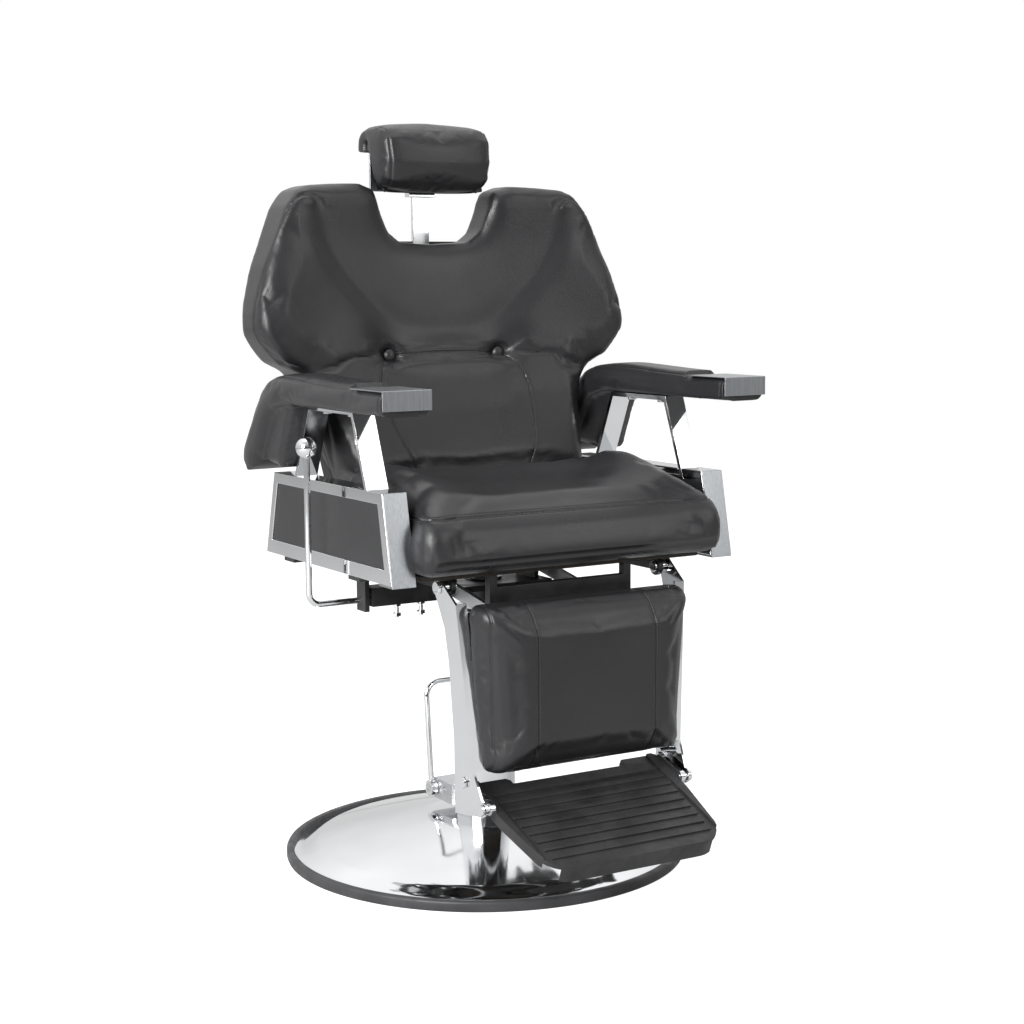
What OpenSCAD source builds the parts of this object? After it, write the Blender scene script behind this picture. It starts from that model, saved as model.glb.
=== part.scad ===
// Barber chair on a hydraulic column: round dished base, foot pump, turning
// seat with boxed sides, reclining winged back coupled to the leg rest,
// folding footrest and a headrest that slides in the back.
// The sitter faces -Y, +Z is up, and the origin is the middle of the base
// on the floor. Lengths are in millimetres.

/* [Base] */
// Radius of the round base over its rubber rim
base_r = 270; // [240:1:310]
// Width of the rubber rim
rim_w = 10; // [8:0.5:16]
// Height of the rubber rim above the floor
rim_h = 15; // [14:0.5:20]
// Thickness of the pressed base dish
dish_t = 3; // [2:0.5:4]
// Width of the dish's low edge, from its dome to its rim
dish_edge_w = 28; // [20:1:60]
// Height of the dish at its neck
dome_h = 54; // [45:1:80]

/* [Pump] */
// Radius of the pump column
column_r = 41; // [38:0.5:50]
// Height of the top of the column
column_top = 318; // [300:1:330]
// Radius of the lifting piston
piston_r = 25; // [22:0.5:30]
// Travel of the lift
lift_travel = 150; // [120:1:180]
// Distance of the pedal shaft behind the column axis
pedal_y = 62; // [58:1:75]
// Height of the pedal shaft above the floor
pedal_z = 78; // [70:1:95]
// Length of the pedal from its shaft to the middle of its tread
pedal_l = 146; // [120:1:165]
// Distance between the middles of the pedal's two legs
pedal_w = 98; // [90:1:120]
// Radius of the pedal rod
pedal_rod_r = 3.8; // [3:0.1:5]
// Lean of the pedal behind the upright, in degrees
pedal_lean = 5; // [0:1:15]

/* [Seat] */
// Height of the top of the seat board at the lowest lift
seat_z = 421; // [410:1:450]
// Gap between the seat cushion and each side box
seat_gap = 1; // [0.5:0.5:6]
// Reach of the seat cushion in front of the column axis
seat_front = 245; // [235:1:248]
// Reach of the seat cushion behind the column axis
seat_back = 3; // [0:1:8]
// Height of the seat cushion at its middle
seat_h = 92; // [70:1:105]
// Thickness of the seat board
board_t = 8; // [6:0.5:12]

/* [Sides] */
// Width of the chair over its two side boxes
side_w = 500; // [480:1:540]
// Thickness of each side box
side_t = 32; // [24:1:32]
// Height of each side box
side_h = 109; // [95:1:112]
// Length of each side box at its foot
side_l = 362; // [340:1:380]
// Reach of the side boxes in front of the column axis
side_front = 216; // [205:1:230]
// Thickness of the sheet of the side boxes
sheet_t = 2.5; // [1.5:0.5:3]

/* [Arms] */
// Width of an arm pad
arm_w = 65; // [55:1:75]
// Overhang of each arm pad outside its side box
arm_out = 27; // [20:1:45]
// Height of the arm pads' top above the floor
arm_top = 648; // [630:1:680]
// Thickness of an arm pad
arm_t = 32; // [26:1:40]
// Reach of the arm pads in front of the column axis
arm_front = 252; // [235:1:270]
// Thickness of the steel strap of the arm uprights
strap_t = 6; // [4:0.5:8]
// Width of the steel strap of the arm uprights
strap_w = 29.5; // [20:0.5:29.5]

/* [Back] */
// How far the back's widest part stays inside the arms' outer faces
back_side = 2; // [0:1:20]
// Height of the top of the back above the floor
back_top = 896; // [870:1:930]
// Distance of the recline pivot behind the column axis
pivot_y = 100; // [95:1:105]
// Height of the recline pivot above the seat board
pivot_rise = 32; // [28:1:36]
// Recline of the back, in degrees
recline_max = 36; // [20:1:38]
// Radius of the crank that works the leg rest
crank_r = 48.5; // [44:0.5:52]
// Thickness of the board inside the back
back_board_t = 10; // [8:1:14]

/* [Headrest] */
// Width of the headrest
head_w = 162; // [156:1:190]
// Height of the headrest
head_h = 88; // [75:1:100]
// Width of the flat headrest post
post_w = 25; // [20:1:30]
// Thickness of the flat headrest post
post_t = 6; // [5:0.5:8]
// Travel of the headrest
head_travel = 90; // [60:1:110]

/* [Leg rest] */
// Distance of the leg rest hinge in front of the column axis
leg_y = 184; // [180:1:188]
// Depth of the leg rest hinge below the top of the seat board
leg_drop = 20; // [18:1:24]
// Gap between each hinge rail and the leg rest's side plate
leg_gap = 10; // [8:0.5:13]
// Thickness of the leg rest's side plates
leg_plate_t = 3; // [2:0.5:4]
// Height of the leg rest's side plates below its hinge that the calf pad leaves free
calf_free = 76; // [72:1:90]
// Gap between the calf pad and each side plate, at the top
calf_side = 14; // [13.5:0.5:25]
// Thickness of the calf pad
calf_t = 49; // [40:1:50]
// Distance of each side of the footrest inside the side plates, at its pivot
foot_clear = 10.6; // [9:0.2:16]
// Length of the footrest
foot_l = 172; // [150:1:185]
// Slope of the footrest below the level, in degrees
foot_slope = 21; // [15:1:25]
// Upward fold of the footrest, in degrees
foot_fold = 82; // [60:1:85]
// Number of ribs on the footrest
rib_count = 9; // [6:1:11]

/* [Lever] */
// Distance of the lever outside the side box
lever_out = 26; // [22:1:40]
// Distance of the lever's shaft in front of the column axis
lever_y = 42; // [38:1:50]
// Depth of the lever's shaft below the top of the seat board
lever_drop = 52; // [50:1:54]
// Length of the lever from its shaft to its ball
lever_l = 198; // [180:1:205]
// Radius of the lever rod
lever_rod_r = 4; // [3:0.5:5]
// Radius of the lever's ball
ball_r = 13.5; // [10:0.5:15]

/* [Hidden] */
$fn = 48;
// Overrun of every cut
cut = 1;
// Radial clearance of a pin or shaft that turns or slides
run_gap = 0.05;
// Radial clearance of the one linkage pivot that stays open in the joint tree
open_gap = 0.15;
// Clearance between faces that move past each other
side_gap = 0.3;
// Facets of the round cuts in soft forms
soft_fn = 24;
// Small screws and the heads on them
screw_r = 3;
screw_head_r = 6;
screw_head_h = 4;

// Base
flange_z = 6;
flange_flat = 6;
flange_rise = 6;
rim_bite = 4;
rim_foot = 12;
rim_round = 3;
neck_r = 78;
dome_steps = 14;
dome_power = 1.7;
dish_edge_r = base_r - rim_w + rim_bite;
dome_r = dish_edge_r - dish_edge_w;
flange_top = flange_z + dish_t;
ring_t = 6;
ring_bolt_n = 6;
ring_bolt_r = (column_r + neck_r) / 2;
nut_r = 7;
nut_h = 6;
stud_r = 4;
stud_tail = 4;

// Pump
column_foot = 20;
column_floor = 8;
collar_h = 20;
collar_step = 3;
collar_round = 4;
piston_foot = 60;
piston_show = 7;
shoulder_z = column_top + collar_h + piston_show;
spigot_step = 5;
spigot_r = piston_r - spigot_step;
cap_disc_t = 3;
cap_hex_h = 7;
cap_hex_r = 15;
boss_w = 88;
boss_r = 14;
shaft_r = 7;
eye_w = 9;
eye_r = 11;
pedal_bend_r = 20;

// Seat mount and under-frame
hub_r = 35;
hub_h = 21;
mount_t = 8;
mount_w = 150;
mount_l = 110;
mount_low = shoulder_z + side_gap;
mount_top = mount_low + hub_h + mount_t;
spigot_top = mount_top + side_gap;
riser_t = 6;
riser_w = 34;
riser_x = 60;
board_low = seat_z - board_t;
bridge_t = 10;
bridge_low = board_low - bridge_t;
bridge_front = 70;
bridge_rear = 15;
rail_inset = 99;
rail_x = side_w / 2 - rail_inset;
rail_t = 6;
rail_h = 17;
rail_out = rail_x + rail_t;
ear_r = 12;
cross_y = 150;
cross_w = 25;
outrigger_t = 6;
outrigger_w = 30;
outrigger_front = 110;
outrigger_rear = 80;
board_inset = 12;
board_front_inset = 40;
board_rear_inset = 5;
crossbar_side = 46;
crossbar_w = 2 * (rail_x - crossbar_side);
crossbar_h = 21;
crossbar_t = 12;
crossbar_y = 185;
crossbar_drop = 37;
hanger_w = 11;

// Recline linkage: two equal cranks hang from the back pivot and the leg hinge
crank_angle = 32.4;
crank_dy = crank_r * sin(crank_angle);
crank_dz = crank_r * cos(crank_angle);
pivot_z = seat_z + pivot_rise;
leg_z = seat_z - leg_drop;
crank_x = 74;
crank_t = 6;
crank_end_r = 9;
link_gap = 2;
link_x = crank_x + crank_t + link_gap;
link_t = 6;
link_r = 9;
link_pin_r = 5;
pin_head_r = 8;
pin_head_t = 3;
back_pin_r = 8;
tube_r = 14;
tube_bore_l = 30;
back_eye_r = 19;
leg_pin_r = 6;

// Side boxes
box_inner_x = side_w / 2 - side_t;
seat_w = 2 * (box_inner_x - seat_gap);
box_low = board_low;
box_top = box_low + side_h;
box_front_lean = 22;
box_rear_lean = 30;
border_top = 14;
border_low = 18;
border_front = 15;
border_rear = 12;
panel_recess = 2;
cover_t = 2.5;
cover_lip = 34;
box_rear = side_l - side_front;
box_outline = [
  [-side_front, box_low], [box_rear, box_low],
  [box_rear - box_rear_lean, box_top], [box_front_lean - side_front, box_top]
];

// Arms
arm_low = arm_top - arm_t;
arms_w = side_w + 2 * arm_out;
arm_inner_x = arms_w / 2 - arm_w;
arm_mid_x = (arms_w - arm_w) / 2;
cap_t = 1.5;
cap_l = 84;
cap_h = 24;
upright_rear = 63;
upright_front = 155;
upright_rear_lean = 48;
upright_front_lean = 42;
arm_screw_front = 85;
arm_screw_rear = 15;
arm_l = 420;
arm_drop = 125;
web_inset = 8;

// Back
back_low = 505;
back_h = back_top - back_low;
back_half = arms_w / 2 - back_side;
back_rear = 172;
back_knee = 620;
back_lean = 67;
wing_sweep = 36;
wing_rear_sweep = 26;
back_roll_r = 22;
back_roll_d = 12;
back_rear_roll = 8;
seat_edge_share = 0.48;
seat_roll_r = 34;
seat_low_roll = 18;
seat_corner_r = 34;
seat_rear_corner_r = 24;
button_x = 85;
button_z = 671;
button_r = 11;
button_h = 5;
dimple_d = 8;
dimple_r = 24;
shank_r = 2;
back_arm_x = rail_out + side_gap;
back_arm_t = 6;
back_arm_d = 20;
back_arm_top = 790;
crossbar_back_z = 690;
crossbar_back_h = 40;
crossbar_back_t = 5;
board_back_side = 28;
board_back_half = rail_out + board_back_side;

// Headrest
socket_wall = 3;
socket_h = 175;
socket_top = 815;
post_foot = 700;
post_top = 940;
post_y = back_rear - socket_wall - post_t / 2 - run_gap;
collar_z = 886;
collar_w = 40;
collar_t = 4;
head_low = 893;
head_plate_t = 3;
head_plate_w = 150;
head_plate_h = 67;
head_d = 61;
head_hook = 37;

// Leg rest
leg_taper = 4;
leg_l = 284;
leg_w = 2 * (rail_out + leg_gap + leg_plate_t);
calf_w = leg_w - 2 * (leg_plate_t + calf_side);
calf_h = leg_l - calf_free;
leg_end_r = 11;
leg_flange_w = 15;
cross_r = 10;
low_cross_r = 7;
cross_drop = 54;
low_cross_rise = 83;
low_cross_drop = leg_l - low_cross_rise;
calf_drop = 16;
calf_gap = 42;
calf_board_t = 12;
calf_board_inset = 6;
calf_roll_r = 30;
calf_edge_t = 12;
foot_pivot_shares = [0.25352, 0.92606];
foot_pivot_dy = leg_l * foot_pivot_shares[0];
foot_pivot_dz = leg_l * foot_pivot_shares[1];
foot_pivot = [-leg_y - foot_pivot_dy, leg_z - foot_pivot_dz];
foot_eye_r = 9;
stop_r = 4;
foot_pin_r = 4;

// Footrest, along its own slope from the pivot
foot_drop = 3.6;
foot_t = 5;
foot_rear = 46;
foot_tab_l = 12;
foot_tab_x = 82;
foot_rim_w = 12;
foot_rim_h = 3;
foot_rim_d = 11;
foot_w = 2 * (plate_inner_x(foot_pivot[1]) - foot_clear);
foot_narrow = 16;
foot_front_w = foot_w - foot_narrow;
foot_corner_r = 38;
foot_lip = 22;
foot_lip_t = 5;
foot_straight = 20;
rib_w = 4;
rib_h = 2.5;
rib_margin = 20;
lug_t = 6;
lug_r = 8;
lug_dy = 42;
lug_dz = 12.6;
lug_reach = [lug_dy, lug_dz];
stop_point = foot_pivot + lug_reach + [0, lug_r + stop_r + side_gap];

// Points of the linkage in the plane of the cranks, as [y, z]
back_pivot = [pivot_y, pivot_z];
leg_pivot = [-leg_y, leg_z];
crank_step = [crank_dy, -crank_dz];
back_crank = back_pivot + crank_step;
leg_crank = leg_pivot + crank_step;

// Shares of the outlines and crowns of the soft pieces
arm_side_shares = [
  [0, 0.024, 0, 0], [0.1, 0.024, 0.1, 0], [0.2, 0.024, 0.2, 0], [0.206, 0, 0.206, 0],
  [0.33, -0.012, 0.33, 0], [0.46, -0.03, 0.46, 0], [0.58, -0.045, 0.58, 0],
  [0.66, -0.045, 0.64, 0], [0.73, -0.025, 0.7, 0.025], [0.785, 0.02, 0.755, 0.107],
  [0.835, 0.125, 0.785, 0.224], [0.885, 0.3, 0.815, 0.437], [0.94, 0.52, 0.85, 0.67],
  [0.99, 0.75, 0.876, 0.835], [0.995, 0.875, 0.895, 0.93], [0.955, 1, 0.93, 0.986]
];
arm_web_shares = [
  [0.637, 0.29], [0.724, 0.91], [0.74, 0.935], [0.895, 0.87], [0.865, 0.74],
  [0.83, 0.57], [0.79, 0.4], [0.72, 0.26], [0.66, 0.25]
];
arm_ring_n = 16;
column_shares = [
  0, 0.1, 0.192, 0.264, 0.308, 0.337, 0.375, 0.417, 0.49, 0.565, 0.616, 0.652,
  0.692, 0.725, 0.755, 0.785, 0.815, 0.85, 0.888, 0.915, 0.94, 0.962, 0.982, 1
];
back_row_shares = [0, 0.03, 0.08, 0.16, 0.28, 0.42, 0.57, 0.71, 0.83, 0.92, 0.97, 1];
back_top_shares = [
  [0, 0.806], [0.192, 0.813], [0.264, 0.847], [0.308, 0.913], [0.337, 0.98], [0.417, 1],
  [0.565, 0.997], [0.692, 0.99], [0.755, 0.974], [0.815, 0.921], [0.888, 0.806],
  [0.94, 0.729], [0.982, 0.629], [1, 0.578]
];
back_low_shares = [
  [0, 0], [0.616, 0], [0.652, 0.09], [0.755, 0.345], [0.785, 0.375], [0.815, 0.385], [0.888, 0.41],
  [0.94, 0.453], [0.982, 0.494], [1, 0.522]
];
back_face_shares = [
  [0, 0.93], [0.09, 0.825], [0.192, 0.68], [0.294, 0.558], [0.396, 0.465], [0.5, 0.413],
  [0.652, 0.372], [0.808, 0.331], [1, 0.33]
];
seat_crown_shares = [
  [0, 0.72], [0.08, 0.84], [0.2, 0.93], [0.4, 0.99], [0.65, 1.02], [0.9, 1], [1, 0.97]
];
grid_end_shares = [0, 0.012, 0.035, 0.075, 0.13, 0.2, 0.29, 0.39, 0.5];
leg_plate_shares = [
  [0.036, -0.02], [-0.03, -0.17], [-0.046, -0.32], [-0.042, -0.66], [-0.004, -1],
  [-0.25, -0.965], [-0.275, -0.95], [-0.19, -0.778], [-0.144, -0.057], [-0.02, 0.034]
];

// Helpers
module both() {
  children();
  mirror([1, 0, 0]) children();
}
module side(left) {
  if (left) children();
  else mirror([1, 0, 0]) children();
}
// Stands a flat outline drawn in (y, z) upright and gives it thickness along X
module along_x(x0, x1) {
  translate([x0, 0, 0]) rotate([90, 0, 90]) linear_extrude(x1 - x0) children();
}
// Stands a flat outline drawn in (x, z) upright and gives it thickness along Y
module along_y(y0, y1) {
  translate([0, y1, 0]) rotate([90, 0, 0]) linear_extrude(y1 - y0) children();
}
module rod_x(x0, x1, r, p) {
  translate([x0, p[0], p[1]]) rotate([0, 90, 0]) cylinder(r = r, h = x1 - x0);
}
module block(x0, x1, y0, y1, z0, z1) {
  translate([x0, y0, z0]) cube([x1 - x0, y1 - y0, z1 - z0]);
}
// Flat bar with round ends between two points
module bar_2d(a, b, r) {
  d = b - a;
  translate(a) circle(r);
  translate(b) circle(r);
  translate(a) rotate(atan2(d[1], d[0])) translate([0, -r]) square([norm(d), 2 * r]);
}
module ring_2d(r, hole) {
  difference() {
    circle(r);
    circle(hole);
  }
}
// Convex outline, counter-clockwise, moved inwards by one distance for each edge
function edge_normal(a, b) = [a[1] - b[1], b[0] - a[0]] / norm(b - a);
function shifted_corner(a, b, c, d1, d2) =
  let (n1 = edge_normal(a, b), n2 = edge_normal(b, c), k = n1[0] * n2[1] - n1[1] * n2[0])
  b + [d1 * n2[1] - d2 * n1[1], d2 * n1[0] - d1 * n2[0]] / k;
function inset(pts, d) =
  let (n = len(pts))
  [for (i = [0:n - 1])
    shifted_corner(pts[(i + n - 1) % n], pts[i], pts[(i + 1) % n], d[(i + n - 1) % n], d[i])];
function arc(c, r, a0, a1, n) =
  [for (i = [0:n]) let (a = a0 + (a1 - a0) * i / n) c + r * [cos(a), sin(a)]];
function mix(a, b, t) = a + (b - a) * t;
// Distance of a point from the nearest edge of a closed outline
function edge_gap(p, a, b) =
  let (v = b - a, t = max(0, min(1, (p - a) * v / (v * v)))) norm(p - a - t * v);
function border_gap(p, pts) =
  let (n = len(pts)) min([for (i = [0:n - 1]) edge_gap(p, pts[i], pts[(i + 1) % n])]);
// Quarter-round rise from 0 at a border to 1 at the distance r
function roll(d, r) = let (t = 1 - min(d / r, 1)) sqrt(1 - t * t);
// Solid between two height fields on one grid of plan points, m points to a row
module quilt(plan, high, low, m) {
  n = len(plan) / m;
  count = len(plan);
  function at(i, j) = i * m + j;
  top = [for (i = [0:count - 1]) [plan[i][0], plan[i][1], high[i]]];
  bottom = [for (i = [0:count - 1]) [plan[i][0], plan[i][1], low[i]]];
  cells = [for (i = [0:n - 2], j = [0:m - 2]) [i, j]];
  rim = concat(
    [for (j = [0:m - 2]) at(0, j)],
    [for (i = [0:n - 2]) at(i, m - 1)],
    [for (j = [m - 1:-1:1]) at(n - 1, j)],
    [for (i = [n - 1:-1:1]) at(i, 0)]
  );
  k = len(rim);
  faces = concat(
    [for (c = cells) [at(c[0], c[1]), at(c[0] + 1, c[1]), at(c[0] + 1, c[1] + 1)]],
    [for (c = cells) [at(c[0], c[1]), at(c[0] + 1, c[1] + 1), at(c[0], c[1] + 1)]],
    [for (c = cells) [at(c[0], c[1]) + count, at(c[0] + 1, c[1] + 1) + count,
      at(c[0] + 1, c[1]) + count]],
    [for (c = cells) [at(c[0], c[1]) + count, at(c[0], c[1] + 1) + count,
      at(c[0] + 1, c[1] + 1) + count]],
    [for (i = [0:k - 1]) [rim[i], rim[(i + 1) % k], rim[(i + 1) % k] + count]],
    [for (i = [0:k - 1]) [rim[i], rim[(i + 1) % k] + count, rim[i] + count]]
  );
  polyhedron(points = concat(top, bottom), faces = faces);
}
// Solid through a row of rings of equal count
module loft(rings) {
  n = len(rings);
  m = len(rings[0]);
  faces = concat(
    [[for (j = [m - 1:-1:0]) j]],
    [for (i = [0:n - 2], j = [0:m - 1])
      [i * m + j, i * m + (j + 1) % m, (i + 1) * m + (j + 1) % m]],
    [for (i = [0:n - 2], j = [0:m - 1])
      [i * m + j, (i + 1) * m + (j + 1) % m, (i + 1) * m + j]],
    [[for (j = [0:m - 1]) (n - 1) * m + j]]
  );
  polyhedron(points = [for (r = rings, p = r) p], faces = faces);
}

// Base
function dome_top(t) = [
  mix(dome_r, neck_r, t),
  mix(flange_top + flange_rise, dome_h, 1 - pow(1 - t, dome_power))
];
dish_face = concat(
  [[dish_edge_r, flange_top], [dish_edge_r - flange_flat, flange_top]],
  [for (i = [0:dome_steps]) dome_top(i / dome_steps)],
  [[column_r + run_gap, dome_h]]
);
module base_dish() {
  n = len(dish_face);
  color("silver") rotate_extrude()
    polygon(concat(dish_face, [for (i = [n - 1:-1:0]) dish_face[i] - [0, dish_t]]));
}
module base_rim() {
  inner = base_r - rim_w;
  color([0.08, 0.08, 0.09]) rotate_extrude() polygon(concat(
    [[inner - rim_foot, 0], [base_r - rim_round, 0]],
    arc([base_r - rim_round, rim_h - rim_round], rim_round, 0, 90, 4),
    [[inner, rim_h], [inner, flange_top], [dish_edge_r, flange_top],
      [dish_edge_r, flange_z], [inner - rim_foot, flange_z]]
  ));
}
module pump_flange() {
  top = dome_h - dish_t;
  color("dimgray") translate([0, 0, top - ring_t]) difference() {
    cylinder(r = neck_r - side_gap, h = ring_t);
    translate([0, 0, -cut]) cylinder(r = column_r + run_gap, h = ring_t + 2 * cut);
    for (i = [1:ring_bolt_n])
      rotate(i * 360 / ring_bolt_n) translate([ring_bolt_r, 0, -cut])
        cylinder(r = stud_r + run_gap, h = ring_t + 2 * cut);
  }
}
module flange_bolts() {
  top = dome_h - dish_t;
  color("gray") for (i = [1:ring_bolt_n])
    rotate(i * 360 / ring_bolt_n) translate([ring_bolt_r, 0, 0]) {
      translate([0, 0, top - ring_t - nut_h - stud_tail])
        cylinder(r = stud_r, h = ring_t + nut_h + stud_tail);
      translate([0, 0, top - ring_t - nut_h]) cylinder(r = nut_r, h = nut_h, $fn = 6);
    }
}
module pump_column() {
  color("silver") difference() {
    translate([0, 0, column_foot]) cylinder(r = column_r, h = column_top - column_foot);
    translate([0, 0, column_foot + column_floor])
      cylinder(r = piston_r + run_gap, h = column_top - column_foot);
  }
}
module column_collar() {
  r = column_r + collar_step;
  top = column_top + collar_h;
  color("silver") rotate_extrude() polygon(concat(
    [[piston_r + run_gap, column_top], [r, column_top]],
    arc([r - collar_round, top - collar_round], collar_round, 0, 90, 6),
    [[piston_r + run_gap, top]]
  ));
}
// Boss behind the column that carries the pedal's shaft
module pump_boss() {
  shaft = [pedal_y, pedal_z];
  color("gray") difference() {
    union() {
      rod_x(-boss_w / 2, boss_w / 2, boss_r, shaft);
      block(-boss_w / 2, boss_w / 2, 0, pedal_y, pedal_z - boss_r, pedal_z + boss_r);
    }
    translate([0, 0, pedal_z - boss_r - cut])
      cylinder(r = column_r + run_gap, h = 2 * boss_r + 2 * cut);
    block(-boss_w, boss_w, -column_r, column_r / 3, pedal_z - 2 * boss_r, pedal_z + 2 * boss_r);
    rod_x(-boss_w, boss_w, shaft_r + run_gap, shaft);
  }
}
module pedal_shaft() {
  color("silver") rod_x(-(pedal_w + eye_w) / 2, (pedal_w + eye_w) / 2, shaft_r,
    [pedal_y, pedal_z]);
}
module pump_pedal() {
  color("silver") translate([0, pedal_y, pedal_z]) rotate([-pedal_lean, 0, 0]) {
    both() {
      difference() {
        union() {
          translate([pedal_w / 2, 0, 0]) cylinder(r = pedal_rod_r, h = pedal_l - pedal_bend_r);
          rod_x((pedal_w - eye_w) / 2, (pedal_w + eye_w) / 2, eye_r, [0, 0]);
        }
        rod_x((pedal_w - eye_w) / 2 - cut, (pedal_w + eye_w) / 2 + cut, shaft_r + run_gap, [0, 0]);
      }
      translate([pedal_w / 2 - pedal_bend_r, 0, pedal_l - pedal_bend_r]) rotate([90, 0, 0])
        rotate_extrude(angle = 90) translate([pedal_bend_r, 0]) circle(pedal_rod_r);
    }
    rod_x(pedal_bend_r - pedal_w / 2, pedal_w / 2 - pedal_bend_r, pedal_rod_r, [0, pedal_l]);
  }
}
module piston() {
  color("silver") {
    translate([0, 0, piston_foot]) cylinder(r = piston_r, h = shoulder_z - piston_foot);
    translate([0, 0, shoulder_z]) cylinder(r = spigot_r, h = spigot_top - shoulder_z);
  }
}
module piston_cap() {
  color("gray") translate([0, 0, spigot_top]) {
    cylinder(r = piston_r, h = cap_disc_t);
    translate([0, 0, cap_disc_t]) cylinder(r = cap_hex_r, h = cap_hex_h, $fn = 6);
  }
}

// Seat under-frame
module seat_mount() {
  color([0.1, 0.1, 0.11]) difference() {
    union() {
      translate([0, 0, mount_low]) cylinder(r = hub_r, h = hub_h + mount_t / 2);
      block(-mount_w / 2, mount_w / 2, -mount_l / 2, mount_l / 2, mount_top - mount_t, mount_top);
      both() block(riser_x, riser_x + riser_t, -bridge_front / 2, bridge_rear,
        mount_top - mount_t / 2, bridge_low);
    }
    translate([0, 0, mount_low - cut])
      cylinder(r = spigot_r + run_gap, h = hub_h + mount_t + 2 * cut);
  }
}
module rail_outline() {
  union() {
    translate([-leg_y, board_low - rail_h]) square([leg_y + pivot_y, rail_h]);
    translate(leg_pivot) circle(ear_r);
    translate([pivot_y - ear_r, board_low - rail_h]) square([2 * ear_r, pivot_z - board_low + rail_h]);
    translate(back_pivot) circle(ear_r);
  }
}
module seat_rails() {
  color([0.1, 0.1, 0.11]) both() difference() {
    along_x(rail_x, rail_out) rail_outline();
    rod_x(rail_x - cut, rail_out + cut, back_pin_r + run_gap, back_pivot);
    rod_x(rail_x - cut, rail_out + cut, leg_pin_r + run_gap, leg_pivot);
  }
}
module seat_bridge() {
  color([0.1, 0.1, 0.11]) {
    block(-rail_x, rail_x, -bridge_front, bridge_rear, bridge_low, board_low);
    block(-rail_x, rail_x, -cross_y, cross_w - cross_y, bridge_low, board_low);
  }
}
module seat_outriggers() {
  color([0.1, 0.1, 0.11]) both() for (y = [-outrigger_front, outrigger_rear])
    block(rail_out, side_w / 2 - sheet_t, y - outrigger_w / 2, y + outrigger_w / 2,
      board_low - outrigger_t, board_low);
}
module front_crossbar() {
  low = board_low - crossbar_drop;
  rear = -crossbar_y;
  color([0.12, 0.12, 0.13]) {
    block(-crossbar_w / 2, crossbar_w / 2, rear - crossbar_t, rear, low, low + crossbar_h);
    both() block(crossbar_w / 2 - hanger_w, crossbar_w / 2, rear - crossbar_t, rear, low, board_low);
  }
}
module seat_board() {
  color([0.16, 0.12, 0.08]) block(
    board_inset - seat_w / 2, seat_w / 2 - board_inset,
    board_front_inset - seat_front, seat_back - board_rear_inset, board_low, seat_z);
}

// Side boxes and arms
upright_low = box_top - border_top + side_gap;
upright_outline = [
  [-upright_front, upright_low], [upright_rear, upright_low],
  [upright_rear - upright_rear_lean, arm_low], [upright_front_lean - upright_front, arm_low]
];
strap_x = side_w / 2 - sheet_t - strap_w;
module strap_2d(extra) {
  d = strap_t + extra;
  difference() {
    polygon(inset(upright_outline, [0, -extra, 0, -extra]));
    polygon(inset(upright_outline, [-cut, d, strap_t, d]));
  }
}
module side_frame(left) {
  t = sheet_t;
  outer_x = side_w / 2;
  color("silver") side(left) difference() {
    union() {
      along_x(outer_x - t, outer_x) difference() {
        polygon(box_outline);
        polygon(inset(box_outline, [border_low, border_rear, border_top, border_front]));
      }
      along_x(box_inner_x, outer_x - t / 2) difference() {
        polygon(box_outline);
        polygon(inset(box_outline, [t, t, t, t]));
      }
    }
    along_x(box_inner_x - cut, outer_x - t) strap_2d(run_gap);
  }
}
module side_panel(left) {
  t = sheet_t + run_gap;
  outer_x = side_w / 2;
  window = inset(box_outline, [border_low, border_rear, border_top, border_front]);
  color([0.07, 0.07, 0.07]) side(left) {
    along_x(outer_x - 2 * sheet_t, outer_x - panel_recess)
      polygon(inset(window, [run_gap, run_gap, run_gap, run_gap]));
    along_x(box_inner_x, outer_x - 2 * sheet_t + run_gap)
      polygon(inset(window, [t - border_low, t - border_rear, side_gap, t - border_front]));
  }
}
module front_cover(left) {
  outer = inset(box_outline, [-cover_t, 0, 0, -cover_t]);
  lip = box_outline[0] + [cover_lip, 0];
  color([0.78, 0.78, 0.78]) side(left) along_x(box_inner_x, side_w / 2)
    polygon([outer[3], outer[0], lip - [0, cover_t], lip, box_outline[0], box_outline[3]]);
}
module arm_upright(left) {
  color("silver") side(left) difference() {
    along_x(strap_x, strap_x + strap_w) strap_2d(0);
    for (y = [-arm_screw_front, -arm_screw_rear])
      translate([strap_x + strap_w / 2, y, arm_low - strap_t - cut])
        cylinder(r = screw_r + run_gap, h = strap_t + 2 * cut);
  }
}
module arm_screws() {
  color("silver") both() for (y = [-arm_screw_front, -arm_screw_rear])
    translate([strap_x + strap_w / 2, y, 0]) {
      translate([0, 0, arm_low - strap_t - screw_head_h])
        cylinder(r = screw_head_r, h = screw_head_h);
      translate([0, 0, arm_low - strap_t - screw_head_h / 2])
        cylinder(r = screw_r, h = strap_t + screw_head_h / 2);
    }
}
arm_start = cap_t - arm_front;
arm_flat_top = arm_top - arm_side_shares[0][1] * arm_drop;
function bent(v, e) = sign(v) * pow(abs(v), e);
function arm_ring(s) = [
  for (i = [0:arm_ring_n - 1])
    let (
      a = (i + 0.5) * 360 / arm_ring_n,
      k = 0.5 + 0.5 * bent(sin(a), sin(a) > 0 ? 0.5 : 0.3),
      z_low = arm_low - s[3] * (arm_drop - arm_t)
    )
    [
      arm_mid_x + arm_w / 2 * bent(cos(a), 0.35),
      arm_start + arm_l * mix(s[2], s[0], k),
      mix(z_low, arm_top - arm_drop * s[1], k)
    ]
];
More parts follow.
